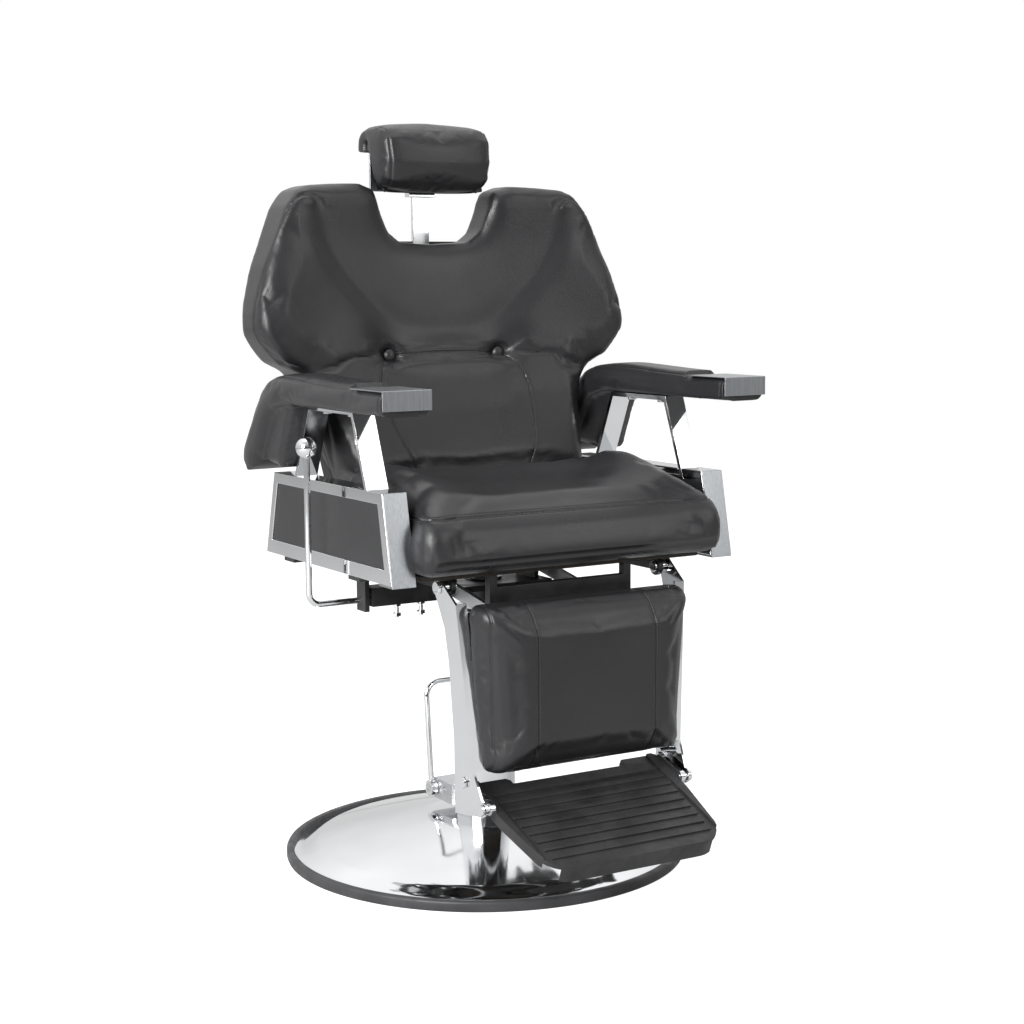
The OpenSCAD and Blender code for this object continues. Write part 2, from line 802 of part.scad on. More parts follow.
module arm_pad(left) {
  color([0.06, 0.06, 0.06]) side(left) {
    loft([for (s = arm_side_shares) arm_ring(s)]);
    along_x(strap_x + web_inset, side_w / 2 + 2 * web_inset)
      polygon([for (s = arm_web_shares)
        [arm_start + arm_l * s[0], arm_top - arm_drop * s[1]]]);
  }
}
module arm_cap(left) {
  x0 = arm_inner_x;
  color([0.75, 0.75, 0.75]) side(left) {
    block(x0, x0 + arm_w, -arm_front, arm_start, arm_flat_top + cap_t - cap_h,
      arm_flat_top + cap_t);
    block(x0, x0 + arm_w, -arm_front, cap_l - arm_front, arm_flat_top, arm_flat_top + cap_t);
  }
}

// Recline lock and its lever, on the sitter's right
lever_x = side_w / 2 + lever_out;
lever_z = seat_z - lever_drop;
lever_axis = [-lever_y, lever_z];
lock_out = 37;
lock_far = rail_out + lock_out;
lock_gap = 7;
lock_near = link_x + link_t + lock_gap;
lock_w = 28;
lock_low = 8;
lock_high = 16;
bearing_out = 10;
bearing_x = lock_far + bearing_out;
bearing_t = 6;
bearing_w = 24;
bearing_drop = 14;
lock_bolt_shares = [0.586, 0.232];
lock_bolt_x = [for (s = lock_bolt_shares) mix(lock_near, lock_far, s)];
lock_bolt_l = 19;
lever_bend_r = 15;
lever_end = 5;
lever_end_x = lock_near + lever_end;
ball_depth = 8;
module lock_housing() {
  color([0.06, 0.06, 0.06]) difference() {
    union() {
      block(-lock_far, -lock_near, -lever_y - lock_w / 2, lock_w / 2 - lever_y,
        lever_z - lock_low, lever_z + lock_high);
      block(-rail_x + rail_t, -lock_near - rail_t, -lever_y - lock_w / 4, lock_w / 4 - lever_y,
        lever_z, bridge_low);
      block(-bearing_x, bearing_t - bearing_x, -lever_y - bearing_w / 2, bearing_w / 2 - lever_y,
        lever_z - bearing_drop, board_low);
      block(-bearing_x, -lock_far + lock_low, -lever_y - lock_w / 4, lock_w / 4 - lever_y,
        lever_z + lock_low, lever_z + lock_high);
    }
    rod_x(-bearing_x - cut, -lever_end_x + run_gap, lever_rod_r + run_gap, lever_axis);
    for (x = lock_bolt_x) translate([-x, -lever_y, lever_z - lock_low - cut])
      cylinder(r = screw_r + run_gap, h = screw_head_h + cut);
  }
}
module lock_bolts() {
  low = lever_z - lock_low;
  color("silver") for (x = lock_bolt_x) translate([-x, -lever_y, 0]) {
    translate([0, 0, low - lock_bolt_l]) cylinder(r = screw_r, h = lock_bolt_l + screw_head_h);
    translate([0, 0, low - lock_bolt_l + screw_head_h / 2])
      cylinder(r = screw_head_r, h = screw_head_h, $fn = 6);
    translate([0, 0, low - screw_head_h]) cylinder(r = screw_head_r, h = screw_head_h, $fn = 6);
  }
}
module recline_lever() {
  top = lever_z + lever_l;
  color("silver") {
    rod_x(lever_bend_r - lever_x, -lever_end_x, lever_rod_r, lever_axis);
    translate([lever_bend_r - lever_x, -lever_y, lever_z + lever_bend_r]) rotate([90, 180, 0])
      rotate_extrude(angle = 90) translate([lever_bend_r, 0]) circle(lever_rod_r);
    translate([-lever_x, -lever_y, lever_z + lever_bend_r])
      cylinder(r = lever_rod_r, h = lever_l - lever_bend_r - ball_depth);
  }
}
module lever_ball() {
  color("silver") translate([-lever_x, -lever_y, lever_z + lever_l]) difference() {
    sphere(ball_r);
    translate([0, 0, -ball_r - cut])
      cylinder(r = lever_rod_r + run_gap, h = ball_r + cut - ball_depth);
  }
}

// Linkage, pins and back frame
leg_plate_x = leg_w / 2 - leg_plate_t;
tilt_gap = leg_end_r * sin(leg_taper) + side_gap;
module leg_hinge_pins() {
  color("silver") both() {
    rod_x(rail_x - pin_head_t, leg_w / 2 + tilt_gap + pin_head_t, leg_pin_r, leg_pivot);
    rod_x(rail_x - pin_head_t, rail_x, pin_head_r, leg_pivot);
    rod_x(rail_out, leg_plate_x - tilt_gap, pin_head_r, leg_pivot);
    rod_x(leg_w / 2 + tilt_gap, leg_w / 2 + tilt_gap + pin_head_t, pin_head_r, leg_pivot);
  }
}
// Hinge pins through the rail ears, and crank pins under the torque tube
module back_pins() {
  color("silver") both() {
    rod_x(rail_x - tube_bore_l, back_arm_x + back_arm_t, back_pin_r, back_pivot);
    rod_x(back_arm_x + back_arm_t, back_arm_x + back_arm_t + pin_head_t, back_pin_r + pin_head_t,
      back_pivot);
    rod_x(crank_x, link_x + link_t + side_gap, link_pin_r, back_crank);
    rod_x(link_x + link_t + side_gap, link_x + link_t + side_gap + pin_head_t, pin_head_r,
      back_crank);
  }
}
module crank_2d(a, b) {
  bar_2d(a, b, crank_end_r);
}
module torque_tube() {
  half = rail_x - side_gap;
  color([0.12, 0.12, 0.13]) difference() {
    union() {
      rod_x(-half, half, tube_r, back_pivot);
      both() along_x(crank_x, crank_x + crank_t) crank_2d(back_pivot, back_crank);
    }
    both() {
      rod_x(half - tube_bore_l, half + cut, back_pin_r + run_gap, back_pivot);
      rod_x(crank_x - cut, crank_x + crank_t + cut, link_pin_r + run_gap, back_crank);
    }
  }
}
module recline_links() {
  color("silver") both() difference() {
    along_x(link_x, link_x + link_t) bar_2d(back_crank, leg_crank, link_r);
    rod_x(link_x - cut, link_x + link_t + cut, link_pin_r + run_gap, back_crank);
    rod_x(link_x - cut, link_x + link_t + cut, link_pin_r + open_gap, leg_crank);
  }
}
socket_x = post_w / 2 + socket_wall + run_gap;
socket_y = post_t / 2 + socket_wall + run_gap;
post_face = post_y - post_t / 2;
back_plate_rear = back_rear + back_board_t;
back_low_rear = back_plate_rear - back_lean;
module back_arms() {
  y0 = back_plate_rear;
  color([0.1, 0.1, 0.11]) both() difference() {
    along_x(back_arm_x, back_arm_x + back_arm_t) union() {
      translate(back_pivot) circle(back_eye_r);
      polygon([
        [pivot_y - back_eye_r, pivot_z], [pivot_y + back_eye_r, pivot_z],
        [y0 + back_arm_d, back_knee - back_arm_d / 2], [y0 + back_arm_d, back_arm_top],
        [y0, back_arm_top], [y0, back_knee], [back_low_rear, back_low]
      ]);
    }
    rod_x(back_arm_x - cut, back_arm_x + back_arm_t + cut, back_pin_r + run_gap, back_pivot);
  }
}
module back_crossbar() {
  y0 = back_plate_rear;
  color([0.1, 0.1, 0.11])
    block(-back_arm_x, back_arm_x, y0, y0 + crossbar_back_t, crossbar_back_z,
      crossbar_back_z + crossbar_back_h);
}
// Points of the winged outline: the notch, the lobes and the wings
function wing_x(s) = s * back_half;
function back_z(s) = back_low + back_h * s;
back_board_shares = [[0.6, 0], [0.66, 0.3], [0.66, 0.96], [0.38, 0.96], [0.3, 0.82]];
module back_board() {
  color([0.12, 0.12, 0.12]) intersection() {
    along_x(-board_back_half, board_back_half) polygon([
      [back_low_rear - back_board_t, back_low], [back_low_rear, back_low],
      [back_plate_rear, back_knee], [back_plate_rear, back_top],
      [back_rear, back_top], [back_rear, back_knee]
    ]);
    along_y(0, 2 * back_rear) polygon(concat(
      [for (s = back_board_shares) [wing_x(s[0]), back_z(s[1])]],
      [for (i = [len(back_board_shares) - 1:-1:0])
        [-wing_x(back_board_shares[i][0]), back_z(back_board_shares[i][1])]]
    ));
  }
}
module buttons(x) {
  for (s = [-1, 1]) translate([s * x, 0, button_z]) rotate([-90, 0, 0]) children();
}
column_n = 2 * len(column_shares) - 1;
back_columns = concat(
  [for (i = [len(column_shares) - 1:-1:1]) -column_shares[i]], column_shares);
back_plan = [
  for (t = back_row_shares, c = back_columns)
    [wing_x(c), back_z(mix(lookup(abs(c), back_low_shares), lookup(abs(c), back_top_shares), t))]
];
back_edge = concat(
  [for (i = [0:column_n - 1]) back_plan[i]],
  [for (i = [column_n - 1:-1:0]) back_plan[len(back_plan) - column_n + i]]
);
function back_face(p) =
  back_rear * (1 - lookup((p[1] - back_low) / back_h, back_face_shares))
  - wing_sweep * pow(p[0] / back_half, 2);
function back_spine(p) =
  back_rear - back_lean * max(0, (back_knee - p[1]) / (back_knee - back_low))
  - wing_rear_sweep * pow(max(0, (abs(p[0]) - board_back_half) / (back_half - board_back_half)), 2);
button_y = back_face([button_x, button_z]) + dimple_d;
module back_cushion() {
  depth = [for (p = back_plan) border_gap(p, back_edge)];
  last = len(back_plan) - 1;
  color([0.06, 0.06, 0.06]) difference() {
    rotate([90, 0, 0]) quilt(back_plan,
      [for (i = [0:last])
        -back_face(back_plan[i]) - back_roll_d * (1 - roll(depth[i], back_roll_r))],
      [for (i = [0:last])
        -back_spine(back_plan[i]) + back_rear_roll * (1 - roll(depth[i], back_rear_roll))],
      column_n);
    buttons(button_x) translate([0, 0, button_y - dimple_d - 2 * cut])
      cylinder(r1 = dimple_r, r2 = button_r + cut, h = dimple_d + 2 * cut, $fn = soft_fn);
    buttons(button_x) translate([0, 0, button_y - cut])
      cylinder(r = shank_r + run_gap, h = back_rear, $fn = soft_fn);
    block(-socket_x, socket_x, post_y - socket_y, back_rear + cut,
      socket_top - socket_h - side_gap, back_top + cut);
  }
}
module tuft_buttons() {
  color([0.05, 0.05, 0.05]) buttons(button_x) translate([0, 0, button_y]) {
    rotate_extrude() intersection() {
      translate([0, button_r - button_h]) circle(button_r);
      translate([0, -button_h]) square([button_r, button_h]);
    }
    cylinder(r = shank_r, h = back_rear - button_y);
  }
}

// Headrest
module headrest_socket() {
  color([0.15, 0.15, 0.16]) difference() {
    block(-socket_x + run_gap, socket_x - run_gap, post_y - socket_y + run_gap, back_rear,
      socket_top - socket_h, socket_top);
    block(-post_w / 2 - run_gap, post_w / 2 + run_gap, post_face - run_gap,
      post_y + post_t / 2 + run_gap, socket_top - socket_h - cut, socket_top + cut);
  }
}
module headrest_post() {
  color("silver") {
    block(-post_w / 2, post_w / 2, post_face, post_face + post_t, post_foot, post_top);
    block(-collar_w / 2, collar_w / 2, post_face - collar_t, post_face + post_t + collar_t,
      collar_z, head_low - side_gap);
  }
}
module headrest_plate() {
  y0 = post_face + post_t;
  color([0.7, 0.7, 0.7]) block(-head_plate_w / 2, head_plate_w / 2, y0, y0 + head_plate_t,
    head_low, head_low + head_plate_h);
}
// Points of the headrest's side, as shares of its depth and height over its lower back
head_slot_shares = [0.19, 0.775];
head_side_shares = [
  [0, 0], [-0.7, 0.02], [-0.9, 0.12], [-1, 0.42], [-0.94, 0.78], [-0.75, 0.95],
  [-0.4, 1], [0.12, 1], [0.42, 0.95], [0.58, 0.84], [0.6, 0.64], [0.54, 0.52],
  [0.4, 0.49], [head_slot_shares[0], 0.52]
];
head_fixed = [0, 13];
head_end_shares = [[0, 0], [0.3, 0], [0.55, 0.01], [0.75, 0.025], [0.88, 0.06], [0.96, 0.11], [1, 0.18]];
head_middle_shares = [-0.22, 0.6];
module headrest_pad() {
  stations = concat(
    [for (i = [len(head_end_shares) - 1:-1:1]) [-head_end_shares[i][0], head_end_shares[i][1]]],
    head_end_shares);
  color([0.06, 0.06, 0.06]) difference() {
    loft([
      for (e = stations) [
        for (i = [0:len(head_side_shares) - 1])
          let (
            p = head_side_shares[i],
            q = mix(p, head_middle_shares, len(search(i, head_fixed)) > 0 ? 0 : e[1])
          )
          [e[0] * head_w / 2, post_face + q[0] * head_d, head_low + q[1] * head_h]
      ]
    ]);
    block(-head_w / 2 - cut, head_w / 2 + cut,
      post_face, post_face + head_slot_shares[0] * head_d,
      head_low - cut, head_low + head_slot_shares[1] * head_h);
  }
}

// Soft blocks with rounded corners in plan
function whole(s) = concat(s, [for (i = [len(s) - 2:-1:0]) 1 - s[i]]);
grid_shares = whole(grid_end_shares);
grid_n = len(grid_shares);
function corner_cut(d, r) = d < r ? r * (1 - sqrt(1 - pow((r - d) / r, 2))) : 0;
function soft_plan(w0, w1, l, r0, r1) = [
  for (t = grid_shares, s = grid_shares)
    let (half = mix(w0, w1, t) / 2 - corner_cut(l * t, r0) - corner_cut(l * (1 - t), r1))
    [(2 * s - 1) * half, l * t]
];
function plan_edge(plan, n) = concat(
  [for (i = [0:n - 1]) plan[i]],
  [for (i = [1:n - 1]) plan[i * n + n - 1]],
  [for (i = [n - 2:-1:0]) plan[(n - 1) * n + i]],
  [for (i = [n - 2:-1:1]) plan[i * n]]
);
module seat_cushion() {
  l = seat_front + seat_back;
  plan = soft_plan(seat_w, seat_w, l, seat_corner_r, seat_rear_corner_r);
  edge = plan_edge(plan, grid_n);
  wall = seat_h * seat_edge_share;
  depth = [for (p = plan) border_gap(p, edge)];
  color([0.06, 0.06, 0.06]) translate([0, -seat_front, seat_z]) quilt(plan,
    [for (i = [0:len(plan) - 1])
      wall + (seat_h * lookup(plan[i][1] / l, seat_crown_shares) - wall)
        * roll(depth[i], seat_roll_r)],
    [for (d = depth) seat_low_roll * (1 - roll(d, seat_low_roll))],
    grid_n);
}

// Leg rest: everything hangs in two plates that lean inwards
module leg_plate(left) {
  front_top = leg_l * leg_plate_shares[8];
  front_low = leg_l * leg_plate_shares[7];
  t = leg_plate_t;
  color("silver") side(left) difference() {
    translate([leg_w / 2, 0, leg_z]) rotate([0, leg_taper, 0]) {
      along_x(-t, 0) translate([-leg_y, 0]) {
        polygon(leg_l * leg_plate_shares);
        circle(leg_end_r);
        translate([-foot_pivot_dy, -foot_pivot_dz]) circle(foot_eye_r);
      }
      along_x(-leg_flange_w, 0) translate([-leg_y, 0])
        polygon([front_low, front_low + [t, 0], front_top + [t, 0], front_top]);
    }
    rod_x(leg_plate_x - 2 * leg_flange_w, leg_w, leg_pin_r + run_gap, leg_pivot);
    rod_x(rail_x - 2 * leg_flange_w, leg_w, foot_pin_r + run_gap, foot_pivot);
    rod_x(rail_x - 2 * leg_flange_w, leg_w, stop_r + run_gap, stop_point);
  }
}
// Space between the two leaning plates
module between_plates() {
  low = leg_z - leg_l - leg_end_r;
  x0 = plate_inner_x(leg_z);
  x1 = plate_inner_x(low);
  polygon([[-x1, low], [x1, low], [x0, leg_z], [-x0, leg_z]]);
}
calf_rear = leg_y + calf_gap;
calf_board_rear = calf_rear - calf_board_t;
cross_point = [-calf_board_rear + cross_r, leg_z - cross_drop];
low_cross_point = [-calf_board_rear + low_cross_r, leg_z - low_cross_drop];
module leg_cross_tubes() {
  color([0.12, 0.12, 0.13]) {
    intersection() {
      union() {
        rod_x(-leg_w, leg_w, cross_r, cross_point);
        rod_x(-leg_w, leg_w, low_cross_r, low_cross_point);
      }
      along_y(-leg_w, 0) between_plates();
    }
    both() difference() {
      along_x(crank_x, crank_x + crank_t) crank_2d(cross_point, leg_crank);
      rod_x(crank_x - cut, crank_x + crank_t + cut, link_pin_r + run_gap, leg_crank);
    }
  }
}
// Crank pins of the leg rest, and the bolts that stop the footrest
module leg_bolts() {
  stop_x = plate_inner_x(stop_point[1]);
  color("silver") both() {
    rod_x(crank_x, link_x + link_t + side_gap, link_pin_r, leg_crank);
    rod_x(link_x + link_t + side_gap, link_x + link_t + side_gap + pin_head_t, pin_head_r,
      leg_crank);
    rod_x(lug_x, stop_x + leg_plate_t + tilt_gap + pin_head_t, stop_r, stop_point);
    rod_x(stop_x + leg_plate_t + tilt_gap, stop_x + leg_plate_t + tilt_gap + pin_head_t,
      stop_r + pin_head_t, stop_point);
  }
}
function plate_inner_x(z) =
  leg_w / 2 - leg_plate_t / cos(leg_taper) - (leg_z - z) * tan(leg_taper);
calf_low_extra = 2;
calf_low_w = calf_w - 2 * calf_h * tan(leg_taper) - calf_low_extra;
calf_top = leg_z - calf_drop;
calf_corner_r = 14;
calf_rear_roll = 6;
module calf_board() {
  color([0.16, 0.12, 0.08]) along_y(-calf_rear, -calf_board_rear)
    polygon([
      [calf_board_inset - calf_low_w / 2, calf_top - calf_h + calf_board_inset],
      [calf_low_w / 2 - calf_board_inset, calf_top - calf_h + calf_board_inset],
      [calf_w / 2 - calf_board_inset, calf_top - 2 * calf_board_inset],
      [calf_board_inset - calf_w / 2, calf_top - 2 * calf_board_inset]
    ]);
}
module calf_pad() {
  plan = soft_plan(calf_low_w, calf_w, calf_h, calf_corner_r, calf_corner_r);
  edge = plan_edge(plan, grid_n);
  depth = [for (p = plan) border_gap(p, edge)];
  color([0.06, 0.06, 0.06]) translate([0, -calf_rear, calf_top - calf_h]) rotate([90, 0, 0])
    quilt(plan,
      [for (d = depth) mix(calf_edge_t, calf_t, roll(d, calf_roll_r))],
      [for (d = depth) calf_rear_roll * (1 - roll(d, calf_rear_roll))],
      grid_n);
}

// Footrest: a shallow ribbed tray with a front lip, two rear tabs and rims
foot_tray_rear = foot_rear + foot_tab_l;
foot_tray_front = foot_l - foot_rear;
module foot_frame() {
  translate([0, foot_pivot[0], foot_pivot[1]]) rotate([foot_slope, 0, 0])
    translate([0, 0, -foot_drop]) children();
}
function foot_half(y) =
  y > -foot_straight ? foot_w / 2
  : mix(foot_w / 2, foot_front_w / 2, (-foot_straight - y) / (foot_tray_front - foot_straight));
foot_corner = [foot_front_w / 2 - foot_corner_r, foot_corner_r - foot_tray_front];
foot_side = concat(
  arc(foot_corner, foot_corner_r, -90, 0, 8),
  [[foot_w / 2, -foot_straight], [foot_w / 2, foot_tray_rear - foot_lip_t],
    [foot_w / 2 - foot_lip_t, foot_tray_rear], [foot_tab_x + foot_lip_t, foot_tray_rear],
    [foot_tab_x, foot_tray_rear - foot_lip_t], [foot_tab_x, foot_rear]]
);
foot_outline = concat(foot_side,
  [for (i = [len(foot_side) - 1:-1:0]) [-foot_side[i][0], foot_side[i][1]]]);
module footrest() {
  color([0.08, 0.08, 0.08]) foot_frame() {
    translate([0, 0, -foot_t]) linear_extrude(foot_t) polygon(foot_outline);
    translate([0, 0, -foot_rim_d]) linear_extrude(foot_rim_d + foot_rim_h) difference() {
      polygon(foot_outline);
      polygon([for (p = foot_outline)
        [p[0] - sign(p[0]) * foot_rim_w, p[1] + (p[1] < 0 ? -foot_tray_front : foot_l)]]);
      square([2 * foot_tab_x, 2 * foot_l], center = true);
    }
    translate([0, 0, -foot_lip]) linear_extrude(foot_lip) intersection() {
      polygon(foot_outline);
      translate([-foot_w, -foot_tray_front]) square([2 * foot_w, foot_lip_t]);
    }
    for (i = [0:rib_count - 1]) let (
      y = mix(rib_margin - foot_tray_front, foot_rear - rib_margin, i / (rib_count - 1)),
      half = foot_half(y) - foot_rim_w - rib_w
    )
      translate([-half, y - rib_w / 2, -cut]) cube([2 * half, rib_w, rib_h + cut]);
  }
}
lug_x = foot_w / 2;
module footrest_lugs() {
  color("silver") both() difference() {
    along_x(lug_x, lug_x + lug_t) bar_2d(foot_pivot, foot_pivot + lug_reach, lug_r);
    rod_x(lug_x - cut, lug_x + lug_t + cut, foot_pin_r + run_gap, foot_pivot);
  }
}
module footrest_pins() {
  inner = plate_inner_x(foot_pivot[1]);
  color("silver") both() {
    rod_x(lug_x, inner + leg_plate_t + tilt_gap + pin_head_t, foot_pin_r, foot_pivot);
    rod_x(lug_x + lug_t, inner - tilt_gap, foot_pin_r + 2 * run_gap + stop_r / 2, foot_pivot);
    rod_x(inner + leg_plate_t + tilt_gap, inner + leg_plate_t + tilt_gap + pin_head_t,
      foot_pin_r + pin_head_t, foot_pivot);
  }
}

base_dish();
base_rim();
pump_flange();
flange_bolts();
pump_column();
column_collar();
pump_boss();
pedal_shaft();
pump_pedal();
piston();
piston_cap();
seat_mount();
seat_rails();
seat_bridge();
seat_outriggers();
front_crossbar();
seat_board();
seat_cushion();
side_frame(true);  // side_frame_left
side_frame(false);  // side_frame_right
side_panel(true);  // side_panel_left
side_panel(false);  // side_panel_right
front_cover(true);  // front_cover_left
front_cover(false);  // front_cover_right
arm_upright(true);  // arm_upright_left
arm_upright(false);  // arm_upright_right
arm_screws();
arm_pad(true);  // arm_pad_left
arm_pad(false);  // arm_pad_right
arm_cap(true);  // arm_cap_left
arm_cap(false);  // arm_cap_right
lock_housing();
lock_bolts();
recline_lever();
lever_ball();
leg_hinge_pins();
back_pins();
torque_tube();
back_arms();
back_crossbar();
back_board();
back_cushion();
tuft_buttons();
headrest_socket();
headrest_post();
headrest_plate();
headrest_pad();
recline_links();
leg_plate(true);  // leg_plate_left
leg_plate(false);  // leg_plate_right
leg_cross_tubes();
calf_board();
calf_pad();
leg_bolts();
footrest();
footrest_lugs();
footrest_pins();
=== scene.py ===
import math

import bmesh
import bpy
from mathutils import Matrix, Vector
from mathutils.bvhtree import BVHTree
from mathutils.kdtree import KDTree


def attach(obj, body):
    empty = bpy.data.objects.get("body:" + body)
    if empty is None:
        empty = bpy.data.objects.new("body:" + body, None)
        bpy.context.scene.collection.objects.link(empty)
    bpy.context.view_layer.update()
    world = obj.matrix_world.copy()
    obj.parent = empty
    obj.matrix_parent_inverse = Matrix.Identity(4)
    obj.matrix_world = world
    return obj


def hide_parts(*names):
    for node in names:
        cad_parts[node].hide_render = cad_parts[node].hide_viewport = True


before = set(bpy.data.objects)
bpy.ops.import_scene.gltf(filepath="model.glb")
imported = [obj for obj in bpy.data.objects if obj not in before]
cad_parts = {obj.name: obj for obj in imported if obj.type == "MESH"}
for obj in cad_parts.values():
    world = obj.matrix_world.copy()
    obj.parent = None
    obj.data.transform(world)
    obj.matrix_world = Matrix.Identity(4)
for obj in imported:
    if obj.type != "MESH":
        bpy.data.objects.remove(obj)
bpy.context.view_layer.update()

# Photo studio: a white floor that runs out of sight, a white surround, two large soft boxes
# and one lamp overhead. The camera stands in front of the sitter's right arm.
turn, tilt, lean = math.radians(-30.998), math.radians(6.986), math.radians(-0.403)
tripod = (-1.26646, -2.1844, 0.77251)
film_width, focal_pixels, picture_pixels = 36, 1900.04, 1024
look_back = Vector((math.sin(turn) * math.cos(tilt), -math.cos(turn) * math.cos(tilt), math.sin(tilt)))
look_right = Vector((math.cos(turn), math.sin(turn), 0))
look_up = look_back.cross(look_right)
camera = bpy.data.objects.new("camera", bpy.data.cameras.new("camera"))
camera.data.sensor_width = film_width
camera.data.lens = film_width * focal_pixels / picture_pixels
camera.matrix_world = Matrix.Translation(tripod) @ Matrix((
    look_right * math.cos(lean) + look_up * math.sin(lean),
    look_up * math.cos(lean) - look_right * math.sin(lean),
    look_back,
)).transposed().to_4x4()
bpy.context.scene.collection.objects.link(camera)
bpy.context.scene.camera = camera
bpy.context.scene.view_settings.view_transform = "Standard"


def soft_box(name, place, aim, width, height, watts):
    """A flat studio lamp that points from its place at the aim."""
    lamp = bpy.data.lights.new(name, "AREA")
    lamp.shape = "RECTANGLE"
    lamp.size, lamp.size_y, lamp.energy = width, height, watts
    holder = bpy.data.objects.new(name, lamp)
    way = Vector(aim) - Vector(place)
    holder.matrix_world = Matrix.Translation(place) @ way.to_track_quat("-Z", "Y").to_matrix().to_4x4()
    bpy.context.scene.collection.objects.link(holder)


soft_box("left soft box", (-3.4, -1.7, 1.9), (0, 0, 0.55), 2.2, 2.2, 215)
soft_box("right panel", (1.75, -2.9, 1.95), (0, 0, 0.6), 1.5, 2.2, 24)
soft_box("overhead soft box", (0, 0.4, 3.2), (0, 0, 0.4), 2.4, 2.0, 18)

# The surround is white behind and above the chair and grey on the photographer's side, so that
# polished steel shows both. The camera itself sees plain white.
world = bpy.data.worlds.new("white surround")
bpy.context.scene.world = world
world.use_nodes = True
nodes, links = world.node_tree.nodes, world.node_tree.links
direction = nodes.new("ShaderNodeTexCoord")
axes = nodes.new("ShaderNodeSeparateXYZ")
links.new(direction.outputs["Generated"], axes.inputs[0])
depth = nodes.new("ShaderNodeMapRange")
depth.interpolation_type = "SMOOTHSTEP"
for key, number in (("From Min", -0.75), ("From Max", 0.15), ("To Min", 0.10), ("To Max", 0.70)):
    depth.inputs[key].default_value = number
links.new(axes.outputs["Y"], depth.inputs["Value"])
height = nodes.new("ShaderNodeMapRange")
for key, number in (("From Min", 0.15), ("From Max", 0.65), ("To Min", 0.0), ("To Max", 0.42)):
    height.inputs[key].default_value = number
links.new(axes.outputs["Z"], height.inputs["Value"])
both = nodes.new("ShaderNodeMath")
links.new(depth.outputs["Result"], both.inputs[0])
links.new(height.outputs["Result"], both.inputs[1])
seen = nodes.new("ShaderNodeLightPath")
plain = nodes.new("ShaderNodeMix")
links.new(seen.outputs["Is Camera Ray"], plain.inputs["Factor"])
links.new(both.outputs[0], plain.inputs["A"])
plain.inputs["B"].default_value = 1.0
nodes["Background"].inputs["Color"].default_value = (1, 1, 1, 1)
# Matt surfaces get less of it, so that the soft boxes shape them.
share_on_matt = 0.32
dimmed = nodes.new("ShaderNodeMapRange")
dimmed.inputs["To Min"].default_value = 1.0
dimmed.inputs["To Max"].default_value = share_on_matt
links.new(seen.outputs["Is Diffuse Ray"], dimmed.inputs["Value"])
lit = nodes.new("ShaderNodeMath")
lit.operation = "MULTIPLY"
links.new(plain.outputs["Result"], lit.inputs[0])
links.new(dimmed.outputs["Result"], lit.inputs[1])
links.new(lit.outputs[0], nodes["Background"].inputs["Strength"])

# The floor glows white to the camera and a little in polished steel, and keeps the shadow.
floor_radius, glow_to_camera, glow_in_steel = 9, 0.92, 0.18
floor_mesh = bpy.data.meshes.new("floor")
bm = bmesh.new()
bmesh.ops.create_circle(bm, cap_ends=True, segments=96, radius=floor_radius)
bm.to_mesh(floor_mesh)
bm.free()
floor = bpy.data.objects.new("floor", floor_mesh)
bpy.context.scene.collection.objects.link(floor)
paper = bpy.data.materials.new("white paper")
paper.use_nodes = True
nodes, links = paper.node_tree.nodes, paper.node_tree.links
nodes["Principled BSDF"].inputs["Base Color"].default_value = (0.6, 0.6, 0.6, 1)
nodes["Principled BSDF"].inputs["Roughness"].default_value = 0.9
nodes["Principled BSDF"].inputs["Specular IOR Level"].default_value = 0.1
seen = nodes.new("ShaderNodeLightPath")
mirrored = nodes.new("ShaderNodeMath")
mirrored.operation = "MULTIPLY"
mirrored.inputs[1].default_value = glow_in_steel
glow = nodes.new("ShaderNodeMath")
glow.operation = "MULTIPLY_ADD"
glow.inputs[1].default_value = glow_to_camera
links.new(seen.outputs["Is Glossy Ray"], mirrored.inputs[0])
links.new(seen.outputs["Is Camera Ray"], glow.inputs[0])
links.new(mirrored.outputs[0], glow.inputs[2])
links.new(glow.outputs[0], nodes["Principled BSDF"].inputs["Emission Strength"])
nodes["Principled BSDF"].inputs["Emission Color"].default_value = (1, 1, 1, 1)
floor.data.materials.append(paper)

# Base: a dished steel plate, pressed, polished and chromed, with a black rubber rim pushed over
# its edge. Under its middle a turned ring is bolted up that holds the pump column.


def patterned(slot, colour, metallic, roughness):
    """A material with its shader's plain values, and the coordinates that its patterns read."""
    mat = bpy.data.materials.new(slot.replace("_", " "))
    mat["slot"] = slot
    mat.use_nodes = True
    shader = mat.node_tree.nodes["Principled BSDF"]
    shader.inputs["Base Color"].default_value = (*colour, 1)
    shader.inputs["Metallic"].default_value = metallic
    shader.inputs["Roughness"].default_value = roughness
    place = mat.node_tree.nodes.new("ShaderNodeTexCoord")
    stretch = mat.node_tree.nodes.new("ShaderNodeMapping")
    mat.node_tree.links.new(place.outputs["Object"], stretch.inputs["Vector"])
    return mat, shader, stretch


def noise(mat, stretch, scale, detail=3, kind="ShaderNodeTexNoise"):
    """A noise or cell pattern of the given scale, in metres to the power of minus one."""
    tex = mat.node_tree.nodes.new(kind)
    tex.inputs["Scale"].default_value = scale
    if "Detail" in tex.inputs:
        tex.inputs["Detail"].default_value = detail
    mat.node_tree.links.new(stretch.outputs["Vector"], tex.inputs["Vector"])
    return tex.outputs[0]


